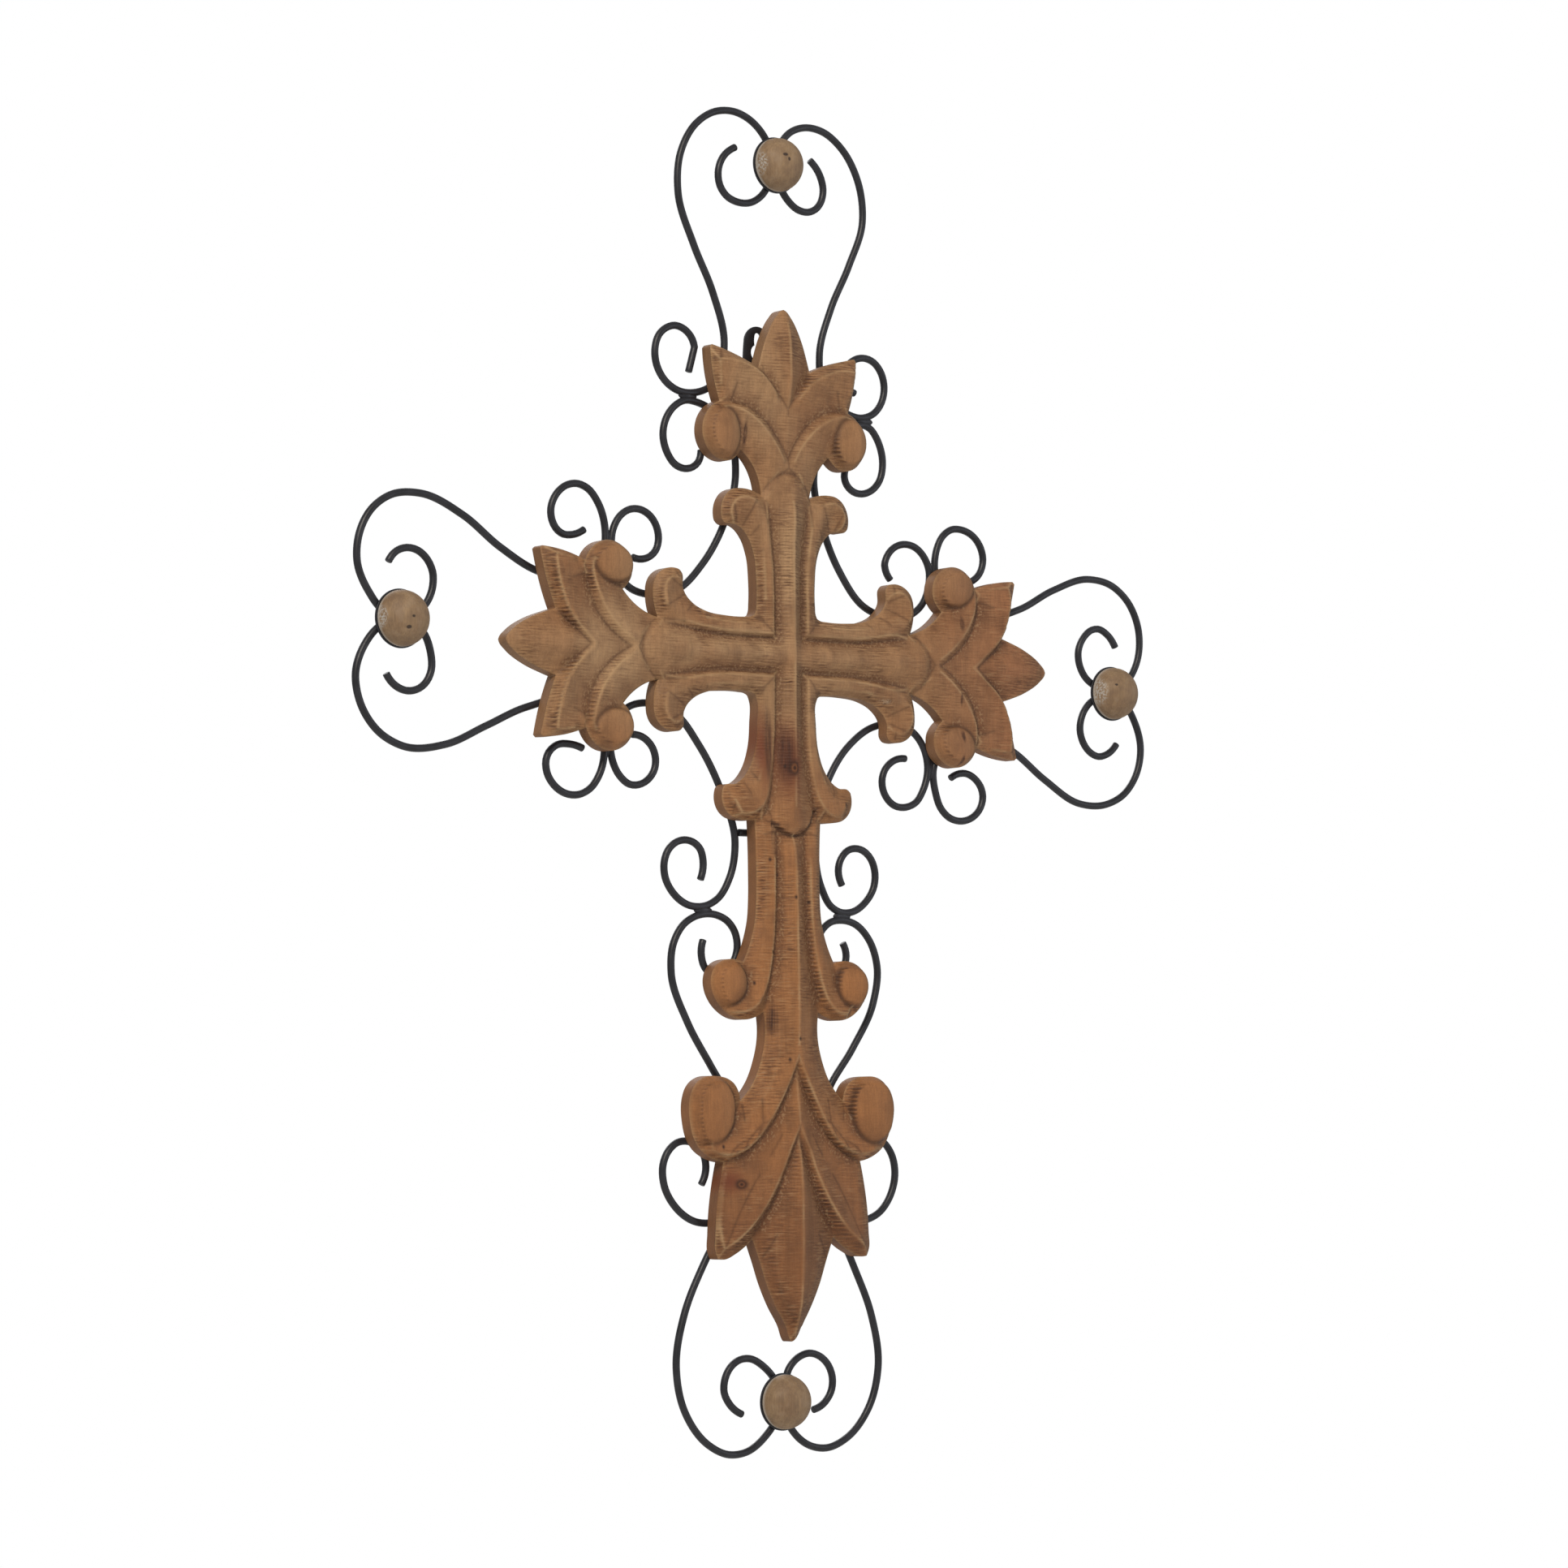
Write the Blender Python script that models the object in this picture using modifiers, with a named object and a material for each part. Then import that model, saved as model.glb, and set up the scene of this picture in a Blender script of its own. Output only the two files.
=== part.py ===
"""Wall cross: a carved wooden cross on a frame of bent steel rod.

Metres, +Z up, the front faces -Y and the wall is the plane Y = 0. The origin is on the back of the
hanger strap. The carving and the rod work are laid out in millimetres about the middle of the
crossing (x to the right, z up), which is how a maker would draw them, and `place` brings them to
the part's own frame.
"""
import math

import bmesh
import bpy
from mathutils import Vector
from mathutils.geometry import delaunay_2d_cdt

MM = 0.001

# Driving sizes, in millimetres
ROD_D = 5.0             # steel rod of all scrollwork
GAP = 0.3               # clearance kept between pieces that touch
STRAP_T = 1.5           # hanger strap, against the wall
BOARD_EDGE = 9.2        # height of the board's side wall, from its back to the carved arris
RELIEF = 1.0            # share of the carving's drawn height above that arris
WELD_T = 1.2            # filler plates at the welds, behind the rods
DISC_D = 38.5           # steel washer behind each button
DISC_T = 1.2
BUTTON_D = 36.5         # turned wooden button, nearly half a ball
BUTTON_H = 18.0
BUTTON_EDGE = 1.5       # its straight edge, below the dome
BUTTON_OFF = (-1.2, -0.6)   # buttons and washers sit this far off the middle of their rods
STRAP_W = 22.5
STRAP_TOP = 225.5       # top of the hanger strap above the crossing
STRAP_X = -11.0         # the strap sits left of the middle
STRAP_TAIL = 6.0        # it ends this far below the middle of the upper tie rod
KEYHOLE_D = 11.0
KEYHOLE_SLOT = 4.8
KEYHOLE_DROP = 18.0     # from the strap's top to the middle of the round hole
KEYHOLE_RISE = 13.6     # from there to the top of the slot
HANG_Z = 196.0          # height of the mount above the crossing, on plain strap below the keyhole
SIDE_ARM = 0.957        # length of a side finial, as a share of the top one
NECK = 108.0            # from the crossing to the neck where hook and finial meet
FOOT_SHY = 3.6          # the left edge of the foot is carved this much closer to the middle
NECK_SHY = 1.8          # and so is the left side of the top arm's stem

# Depths, from the wall towards the room
ROD_AXIS = STRAP_T + GAP + ROD_D / 2
ROD_FRONT = ROD_AXIS + ROD_D / 2
BOARD_BACK = ROD_FRONT + GAP
ARRIS = BOARD_BACK + BOARD_EDGE

DISC_BACK = ROD_FRONT + GAP
BUTTON_BACK = DISC_BACK + DISC_T + GAP

# Two rods that are welded side by side lie this far from the line between them
HALF_PITCH = (ROD_D + GAP) / 2
BOW = 0.6               # how far the two rods behind a button bow apart
PASS = 9.0              # they run side by side this far to each side of the button's middle

# Where the two rods of each heart meet, behind its button: x, z
BUTTON_TOP = (2.0, 337.0)
BUTTON_LEFT = (-306.0, 10.0)
BUTTON_RIGHT = (301.0, -10.0)
BUTTON_FOOT = (0.0, -500.0)
BUTTONS = {"top": BUTTON_TOP, "left": BUTTON_LEFT, "right": BUTTON_RIGHT, "foot": BUTTON_FOOT}
BUTTONS = {name: (x + BUTTON_OFF[0], z + BUTTON_OFF[1]) for name, (x, z) in BUTTONS.items()}

# Heights of the two level tie rods
TIE_UPPER_Z = 188.0
TIE_LOWER_Z = -119.5

# How finely curves are read off
TURN_OUTLINE = math.radians(19)
TURN_ROD = math.radians(26)
LONGEST_OUTLINE = 16.0
LONGEST_ROD = 34.0
ROUND_STEPS = 28        # sides of a button or washer
DOME_STEPS = 6          # facets of a button's dome, from edge to top
STRAP_STEPS = 12        # of the strap's round top, and of its keyhole
SLOT_STEPS = 6


def place(x, depth, z):
    """A drawn point (mm about the crossing, depth from the wall) in the part's own frame."""
    return Vector(((x - STRAP_X) * MM, -depth * MM, (z - HANG_Z) * MM))


def clear_scene():
    for obj in list(bpy.data.objects):
        bpy.data.objects.remove(obj, do_unlink=True)


def new_collection(name):
    collection = bpy.data.collections.new(name)
    bpy.context.scene.collection.children.link(collection)
    return collection


def new_material(name, colour, roughness, metallic):
    material = bpy.data.materials.new(name)
    material.use_nodes = True
    shader = material.node_tree.nodes["Principled BSDF"]
    shader.inputs["Base Color"].default_value = (*colour, 1.0)
    shader.inputs["Roughness"].default_value = roughness
    shader.inputs["Metallic"].default_value = metallic
    return material


def catmull_rom(points, samples=12):
    """A smooth curve through all points, of any number of coordinates, read off densely."""
    ends = [[2 * a - b for a, b in zip(points[0], points[1])],
            [2 * a - b for a, b in zip(points[-1], points[-2])]]
    knots = [ends[0]] + [list(p) for p in points] + [ends[1]]
    curve = []
    for i in range(1, len(knots) - 2):
        before, start, end, after = knots[i - 1:i + 3]
        t0 = 0.0
        t1 = t0 + max(math.dist(before[:2], start[:2]), 1e-6) ** 0.5
        t2 = t1 + max(math.dist(start[:2], end[:2]), 1e-6) ** 0.5
        t3 = t2 + max(math.dist(end[:2], after[:2]), 1e-6) ** 0.5
        for k in range(samples):
            t = t1 + (t2 - t1) * k / samples
            value = []
            for a, b, c, d in zip(before, start, end, after):
                ab = (a * (t1 - t) + b * (t - t0)) / (t1 - t0)
                bc = (b * (t2 - t) + c * (t - t1)) / (t2 - t1)
                cd = (c * (t3 - t) + d * (t - t2)) / (t3 - t2)
                abc = (ab * (t2 - t) + bc * (t - t0)) / (t2 - t0)
                bcd = (bc * (t3 - t) + cd * (t - t1)) / (t3 - t1)
                value.append((abc * (t2 - t) + bcd * (t - t1)) / (t2 - t1))
            curve.append(value)
    curve.append(list(points[-1]))
    return curve


def read_off(points, turn, longest):
    """The curve through the points, with a vertex wherever it has turned or run far enough."""
    if len(points) == 2:
        return [list(p) for p in points]
    dense = catmull_rom(points)
    kept = [dense[0]]
    turned = 0.0
    for before, here, after in zip(dense, dense[1:], dense[2:]):
        a = Vector((here[0] - before[0], here[1] - before[1]))
        b = Vector((after[0] - here[0], after[1] - here[1]))
        if a.length > 1e-6 and b.length > 1e-6:
            turned += abs(a.angle_signed(b))
        if turned >= turn or math.dist(here[:2], kept[-1][:2]) >= longest:
            kept.append(here)
            turned = 0.0
    if math.dist(kept[-1][:2], dense[-1][:2]) < 0.3 * longest and len(kept) > 2 and turned < 0.4 * turn:
        kept.pop()
    kept.append(dense[-1])
    return kept


def button_route(button, side):
    """Where a heart's rod passes behind its button, beside its partner; side is -1 or +1.

    The top and foot hearts pass their buttons upright, with the partner to the left or right.
    """
    x, z = button
    return [(x + side * (HALF_PITCH + BOW), z - PASS),
            (x + side * (HALF_PITCH + BOW / 2), z),
            (x + side * (HALF_PITCH + BOW), z + PASS)]


def button_route_level(button, side):
    """The same behind the two side buttons, where the rods pass level, one above the other."""
    x, z = button
    return [(x + PASS, z + side * (HALF_PITCH + BOW)),
            (x, z + side * (HALF_PITCH + BOW / 2)),
            (x - PASS, z + side * (HALF_PITCH + BOW))]


# Weld points, where two rods lie side by side: x, z
WELD_TOP_LEFT = (-73.0, 172.6)
WELD_TOP_RIGHT = (79.0, 167.2)
WELD_SHAFT_LEFT = (-63.0, -172.3)
WELD_SHAFT_RIGHT = (55.5, -174.0)
WELD_ARM_LEFT_UP = (-139.5, 70.0)
WELD_ARM_LEFT_DOWN = (-141.2, -65.0)
WELD_ARM_RIGHT_UP = (138.5, 66.0)
WELD_ARM_RIGHT_DOWN = (135.3, -70.0)
WELD_LONG = 15.0

# Each weld, and whether its two rods stand upright there
WELDS = {
    "top_left": (WELD_TOP_LEFT, False),
    "top_right": (WELD_TOP_RIGHT, False),
    "shaft_left": (WELD_SHAFT_LEFT, False),
    "shaft_right": (WELD_SHAFT_RIGHT, False),
    "arm_left_upper": (WELD_ARM_LEFT_UP, True),
    "arm_left_lower": (WELD_ARM_LEFT_DOWN, True),
    "arm_right_upper": (WELD_ARM_RIGHT_UP, True),
    "arm_right_lower": (WELD_ARM_RIGHT_DOWN, True),
}


def beside(weld, x_side=0, z_side=0):
    """A point of a rod that lies beside a weld, to the given side of it."""
    return (weld[0] + x_side * HALF_PITCH, weld[1] + z_side * HALF_PITCH)


def rod_routes():
    """Centre lines of the bent rods, by name, from one free end to the other."""
    routes = {}
    routes["heart_top_left"] = [
        (-31, 346), (-39, 340), (-45, 332), (-45, 320), (-39, 312), (-29, 308.5), (-18, 309.5), (-8, 316),
        *button_route(BUTTON_TOP, -1), (-7, 357), (-20, 367), (-37, 370.5), (-55, 365.5), (-70, 352),
        (-79, 332), (-80, 312), (-76, 294), (-66, 274), (-56, 255), (-47, 235), (-42, 216), (-43, 198),
        (-50, 184), (-61, 177), beside(WELD_TOP_LEFT, z_side=1), (-86, 177.5), (-97, 188), (-100, 202),
        (-95, 214), (-83, 219.5), (-72, 215.5), (-67, 207), (-68, 198), (-72, 189)]
    routes["heart_top_right"] = [
        (33, 344), (40, 337), (44.5, 327), (42, 315), (34, 308.5), (23, 308.5), (13, 315),
        *button_route(BUTTON_TOP, 1), (10.5, 356), (20, 363.5), (37, 366.5), (54, 360.5), (69, 346),
        (78, 325), (79, 306), (74, 289), (64, 269), (54, 250), (46, 232), (40.5, 212), (40.5, 196),
        (47, 182), (58, 173.5), (68.5, 171), beside(WELD_TOP_RIGHT, z_side=1), (90, 175.5), (96.5, 187),
        (95.5, 200), (87, 209.5), (76, 211), (66, 206), (62.5, 197), (66, 188.5), (71, 186)]
    routes["heart_left_upper"] = [
        (-314, 46), (-308, 53), (-298, 56), (-288, 53), (-280.5, 44), (-279.5, 33), (-284, 23),
        (-290, 15.5), *button_route_level(BUTTON_LEFT, 1), (-322, 19), (-332, 30), (-338, 46),
        (-336, 63), (-326, 80), (-310, 90), (-292, 92), (-272, 88), (-250, 76.5), (-230, 63), (-210, 52),
        (-190, 45.5), (-170, 44.5), (-154, 51), (-144.5, 61), beside(WELD_ARM_LEFT_UP, x_side=-1),
        (-142.5, 82), (-148, 96), (-158, 105.5), (-170, 106.5), (-181, 99.5), (-186, 88), (-183, 77.5),
        (-175, 72.5), (-167, 73.5), (-159, 77)]
    routes["heart_left_lower"] = [
        (-316, -26), (-309, -33.5), (-299, -36.5), (-288, -33), (-281.5, -24), (-281, -13), (-285, -3),
        (-290, 4.5), *button_route_level(BUTTON_LEFT, -1), (-322, 2.5), (-332, -8), (-339, -25),
        (-336, -45), (-325, -61), (-308, -71), (-288, -73), (-266, -68.5), (-242, -58), (-218, -47.5),
        (-198, -40), (-180, -36.5), (-164, -39), (-151.5, -48), (-145, -57),
        beside(WELD_ARM_LEFT_DOWN, x_side=-1), (-144.8, -76), (-149, -87), (-158, -96), (-170, -99),
        (-182, -95), (-190, -85), (-190, -74), (-182, -66.5), (-172, -65.5), (-161, -68)]
    routes["heart_right_upper"] = [
        (307, 23), (300, 31.5), (289, 35.5), (278, 29.5), (272, 18), (274, 6.5), (280, -1),
        *reversed(button_route_level(BUTTON_RIGHT, 1)), (317, -1.5), (325, 8), (330, 24), (328, 42),
        (318, 58), (302, 68), (284, 70.5), (264, 67), (242, 57), (222, 47), (203, 40.5), (186, 37.5),
        (169, 39.5), (154, 47), (144, 57), beside(WELD_ARM_RIGHT_UP, x_side=1), (141.5, 78), (146, 90),
        (156, 97.5), (168, 97.5), (179, 91.5), (184.5, 80.5), (182, 69.5), (173, 62)]
    routes["heart_right_lower"] = [
        (307, -46), (300, -52.5), (290, -55.5), (279, -50.5), (273, -39), (275, -27), (282, -18),
        *reversed(button_route_level(BUTTON_RIGHT, -1)), (317, -20), (326, -32), (330, -48), (326, -66),
        (313, -82), (296, -89.5), (276, -90.5), (256, -84), (234, -70.5), (214, -57.5), (196, -48),
        (178, -44.5), (161, -47.5), (147, -55), beside(WELD_ARM_RIGHT_DOWN, x_side=1), (138.8, -82),
        (141.5, -93), (149, -102), (160, -105.5), (171, -103.5), (180, -95.5), (182, -85), (175, -75.5),
        (164, -72), (153, -76)]
    routes["heart_foot_left"] = [
        (-33, -508), (-42, -502.5), (-48, -493), (-46, -481), (-38, -473), (-28, -471), (-18, -474.5),
        (-8, -483.5), *reversed(button_route(BUTTON_FOOT, -1)), (-8.5, -517), (-20, -528.5), (-37, -534.5),
        (-55, -531), (-71, -518.5), (-83, -500), (-87.5, -480), (-86, -459), (-80, -438.5), (-70, -417),
        (-59, -400), (-50.5, -386.5)]
    routes["heart_foot_right"] = [
        (27, -507), (37, -502.5), (43.5, -493), (43, -482), (36, -473), (25, -469), (14, -472),
        (5.5, -481), *reversed(button_route(BUTTON_FOOT, 1)), (8, -518.5), (20, -529), (37, -533),
        (54, -528), (70, -514.5), (81, -495), (84, -474), (81, -454), (73, -431), (62, -409),
        (50.5, -387.5)]
    routes["scroll_upper_left"] = [
        (-62, 137), (-65, 128), (-74, 123.5), (-85, 126.5), (-92, 137), (-93.5, 149), (-88, 161),
        (-81, 167), beside(WELD_TOP_LEFT, z_side=-1), (-60, 167.5), (-46, 160), (-37, 148), (-33, 132),
        (-34, 114), (-40, 95), (-52, 74), (-65, 56), (-80, 43), (-96, 37.5), (-112, 37.5), (-126, 43),
        (-134, 54), beside(WELD_ARM_LEFT_UP, x_side=1), (-134.5, 81), (-126, 91), (-114, 93.5),
        (-103, 88), (-98, 77), (-101, 66), (-110, 60.5), (-120, 61)]
    routes["scroll_upper_right"] = [
        (62, 133), (62, 124), (70, 117.5), (81, 118), (91, 125.5), (95, 139), (91, 153),
        (87, 160.5), beside(WELD_TOP_RIGHT, z_side=-1), (70, 163), (60, 161), (48, 154), (40, 144), (35, 130),
        (36, 112), (42, 91), (52, 69), (65, 50), (80, 37.5), (97, 33), (114, 34), (127, 41.5),
        (133.5, 52), beside(WELD_ARM_RIGHT_UP, x_side=-1), (131, 77), (122, 83.5), (110, 84),
        (100, 78), (96, 68), (101, 59)]
    routes["scroll_lower_left"] = [
        (-121, -57), (-111, -59), (-103, -67), (-102, -78), (-110, -88), (-122, -90.5), (-132, -84),
        (-137, -75), beside(WELD_ARM_LEFT_DOWN, x_side=1), (-136.5, -53), (-129, -42), (-116, -36.5),
        (-101, -36), (-86, -41), (-72, -53), (-59, -72), (-47, -92), (-39, -109), (-35.5, -127),
        (-38, -144), (-45, -158), (-53, -166), beside(WELD_SHAFT_LEFT, z_side=1), (-77, -168.5),
        (-89, -160), (-95, -148), (-93, -135), (-84, -127), (-72, -126.5), (-64, -133), (-63, -142),
        (-65, -152)]
    routes["scroll_lower_right"] = [
        (113, -64), (102, -66), (93, -75), (93, -87), (101, -96), (113, -97.5), (124, -92),
        (130, -80.5), beside(WELD_ARM_RIGHT_DOWN, x_side=-1), (130.2, -58), (122.5, -47.5), (108, -41),
        (92, -41.5), (76, -47), (62, -58), (50, -73), (41, -89), (35, -107), (33, -127),
        (35, -145), (40, -159), (47, -168), beside(WELD_SHAFT_RIGHT, z_side=1), (67, -170), (78, -162),
        (85, -149), (82, -135), (73, -128), (62, -128.5), (54.5, -136), (53, -144), (56, -153)]
    routes["scroll_shaft_left"] = [
        (-63, -192), (-64.5, -203), (-60, -212.5), (-50, -214.5), (-40, -209), (-34.5, -198),
        (-37, -185), (-45, -177.5), (-54, -174.9), beside(WELD_SHAFT_LEFT, z_side=-1), (-76, -179.5),
        (-86, -191), (-90, -206), (-88, -223), (-80, -241), (-69, -259), (-57, -276.5), (-45, -293),
        (-35, -310), (-29.5, -328), (-29.5, -345), (-33, -361), (-40.5, -373),
        (-56, -380), (-74, -378.5), (-88, -369), (-97, -354), (-96.5, -338), (-87, -327.5), (-75, -326.5),
        (-65, -333), (-62, -344), (-66, -355)]
    routes["scroll_shaft_right"] = [
        (56, -192), (59, -202), (54, -211.5), (44, -211.5), (36.5, -204), (34, -194), (38, -184),
        (46, -178), beside(WELD_SHAFT_RIGHT, z_side=-1), (67, -179), (78, -188), (85, -202), (86, -218),
        (81, -236), (71, -254), (59, -270), (47, -285.5), (37, -302), (31.5, -320), (30.5, -340),
        (34, -361), (42, -373.5), (57, -380.5), (75, -380), (90, -372),
        (99, -356), (99, -340), (90, -327.5), (77, -324), (66, -330), (62, -340)]
    return routes


def make_rod(name, points, collection, material):
    """A bent rod: a poly curve through the route, with a round bevel and filled ends."""
    curve = bpy.data.curves.new(name, "CURVE")
    curve.dimensions = "3D"
    curve.bevel_depth = ROD_D / 2 * MM
    curve.bevel_resolution = 1
    curve.use_fill_caps = True
    route = read_off(points, TURN_ROD, LONGEST_ROD)
    spline = curve.splines.new("POLY")
    spline.points.add(len(route) - 1)
    for point, (x, z) in zip(spline.points, route):
        point.co = (*place(x, ROD_AXIS, z), 1.0)
    obj = bpy.data.objects.new(name, curve)
    curve.materials.append(material)
    collection.objects.link(obj)
    return obj


def level_of(route, side, z):
    """Where a rod crosses the height z nearest to the middle: its place there, and its lean.

    The side is -1 for a rod left of the middle and +1 for one on the right.
    """
    dense = catmull_rom(route)
    hits = [(a[0] + (b[0] - a[0]) * (z - a[1]) / (b[1] - a[1]), (b[0] - a[0]) / (b[1] - a[1]))
            for a, b in zip(dense, dense[1:]) if (a[1] - z) * (b[1] - z) <= 0 and a[1] != b[1]]
    return min((hit for hit in hits if hit[0] * side > 0), key=lambda hit: abs(hit[0]))


# The top arm of the board, right half, as distances across and along from the crossing.
# Stretches meet at sharp corners; each is a smooth curve through its points.
ARM_OUTLINE = [
    # middle leaf, from its tip to the notch beside the side leaf
    [(0, 236), (1.8, 235.3), (7, 230), (12.5, 221), (17, 211), (20, 201.5), (22, 194.8)],
    # side leaf: upper edge, blunt tip, outer edge
    [(22, 194.8), (30, 198.3), (40, 201.8), (51, 205), (61, 207.3)],
    [(61, 207.3), (62.6, 205.5)],
    [(62.6, 205.5), (62.4, 198), (61, 190), (58.6, 180), (55.2, 169.5)],
    # ball of the volute
    [(55.2, 169.5), (60.5, 166.8), (65.5, 162), (69, 154.5), (69.6, 147), (67, 139), (61, 132.2), (53, 129.6),
     (45, 131), (37.8, 137.8)],
    # outer edge of its stem, down to the neck
    [(37.8, 137.8), (32, 132.3), (27.5, 125.5), (23.8, 117), (20.6, NECK)],
    # hook: crown, blunt end, inner edge down to the crossing
    [(20.6, NECK), (25.5, 109.5), (32, 111.2), (39, 111.8), (46, 110.2), (51, 106), (54, 100), (54.6, 94),
     (53.4, 89.3)],
    [(53.4, 89.3), (51.3, 87.5)],
    [(51.3, 87.5), (45, 87.4), (39.5, 86), (34.5, 82), (30.5, 76.5), (27.5, 69), (25.6, 59), (25, 47),
     (25.1, 35), (25.5, 30), (26.9, 26.9)],
]

# The foot of the board, right half: across, and up from the crossing (negative)
FOOT_OUTLINE = [
    [(26.9, -26.9), (25.4, -30), (25, -45), (25.8, -57), (28, -67), (31.5, -75.5), (36.5, -82.5), (42.5, -87),
     (48, -88.6), (52, -88.5)],
    [(52, -88.5), (54.4, -90.5)],
    [(54.4, -90.5), (55.5, -97), (53.5, -104), (48, -109.3), (40, -111.4), (28, -111.5)],
    [(28, -111.5), (27.2, -130), (27, -150), (27.3, -168), (28.8, -181), (32, -192), (35.2, -200),
     (38.8, -206.7)],
    [(38.8, -206.7), (46, -205.1), (54, -205.6), (61, -208.8), (65.8, -215), (67.2, -222.5), (65.3, -230.5),
     (60.3, -237.5), (53, -242.7), (45, -245.2), (37, -244.8), (30, -242.7), (25, -240)],
    [(25, -240), (24, -246), (24.3, -257), (26.8, -269), (31, -281), (37, -290.5), (45.5, -299.3)],
    [(45.5, -299.3), (47, -293), (51, -287.5), (58, -284), (67, -283), (76, -284), (83, -288.5), (87, -296),
     (88, -306), (86.8, -317), (83, -327), (76.5, -334), (69, -337.8), (60, -340.2)],
    [(60, -340.2), (62.3, -350), (64.5, -362), (66.2, -375), (67, -388), (67.2, -399)],
    [(67.2, -399), (65, -404.2)],
    [(65, -404.2), (59.5, -404.6), (50.5, -401.2), (43, -396.2), (36.3, -391.3)],
    [(36.3, -391.3), (33, -398.5), (30, -407), (26, -418), (20.8, -430), (14.5, -441), (7.8, -451.5),
     (2.5, -459.3), (0, -460.3)],
]

# Carved lines of an arm: across, along, and height above the arris
ARM_LINES = {
    "leaf ridge": [(0, 168, 4.2), (0, 181, 7.6), (0, 198, 8.4), (0, 214, 8), (0, 226, 5.5)],
    "side leaf foot": [(0, 168, 4.2), (3.5, 171.5, 3.8), (7.5, 177.5, 3.2), (13.5, 185.8, 2.0),
                       (22, 194.8, 0)],
    "side leaf crest": [(0, 163.5, 5), (5, 169.3, 5.4), (11, 177.5, 6.4), (18, 185, 7.6), (27, 191.3, 8.2),
                        (38, 195.2, 8.3), (49, 197.4, 7.6), (58, 197, 5.6)],
    "side leaf rim": [(58, 197, 5.6), (57.3, 188, 4.4), (55, 179, 3.6), (51.5, 172, 3)],
    "side leaf hollow": [(0, 147, 3.4), (7, 158, 3.2), (17, 168.5, 3.4), (29, 177, 3.8), (43, 182.5, 4.2)],
    "volute foot": [(0, 133.5, 3.6), (3.6, 139.3, 3.1), (8.5, 147.7, 2.6), (16, 156.5, 2.4), (24, 163, 2),
                    (34, 167.8, 1.6), (45, 169.9, 1.2), (55.2, 169.5, 0)],
    "volute crest": [(0, 127.5, 5.3), (3.5, 130.8, 5.8), (6.3, 135.3, 5.9), (10, 141, 5.7), (14, 146.3, 5.7),
                     (19, 151.6, 5.8), (26, 157.3, 6.1), (34.5, 162.2, 6.5), (43.5, 165.2, 6.4),
                     (52.5, 165.8, 4.6)],
    "volute stem": [(9, 124, 4.8), (15, 130, 4.6), (20, 138, 4.4), (27, 146.5, 4.1), (36, 153.5, 3.6)],
    "ball groove": [(37.8, 137.8, 0), (40.8, 143, 1.8), (42.8, 149.5, 2.6), (47, 156, 3), (53, 160.2, 3),
                    (59.5, 162.3, 2.4)],
    "collar foot": [(0, 124, 3.8), (7, 122.6, 3.3), (13.5, 118.3, 2.6), (18.3, 112.5, 1.2), (20.6, NECK, 0)],
    "collar crown": [(0, 120.5, 6.8), (6.5, 118.6, 6.2), (11.8, 114.4, 5), (15.5, 108.8, 4)],
    "arm ridge": [(0, 120.5, 6.8), (0, 112, 8.4), (0, 95, 9.4), (0, 70, 10.2), (0, 40, 10.4), (0, 0, 10.4)],
    "arm foot": [(17.4, 103.5, 2.6), (16.4, 96, 2.9), (14.9, 86, 2.8), (13.2, 74, 2.6), (12, 60, 2.5),
                 (11.6, 45, 2.5), (11.5, 28, 2.5), (11.5, 11.5, 2.5)],
    "band crest": [(20, 104.8, 2.2), (19.4, 97, 5.2), (18.8, 88, 5.6), (17, 76, 5.7), (15.3, 62, 5.8),
                   (14.5, 47, 5.9), (14.5, 30, 6), (14.5, 14.5, 6)],
    "band edge": [(29, 103.5, 6.4), (27, 92, 6.2), (24.2, 80, 5.6), (22, 66, 5), (20.8, 50, 4.8),
                  (20.7, 35, 4.8), (20.7, 20.7, 4.8)],
    "hook brow": [(29, 103.5, 6.4), (37, 105.6, 6.4), (44.5, 103.4, 5.6), (48.6, 97, 4.8), (47.6, 92, 3.8)],
}
ARM_BALL = (56.5, 147.2, 9.2, 7.4, 9.4)

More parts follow.
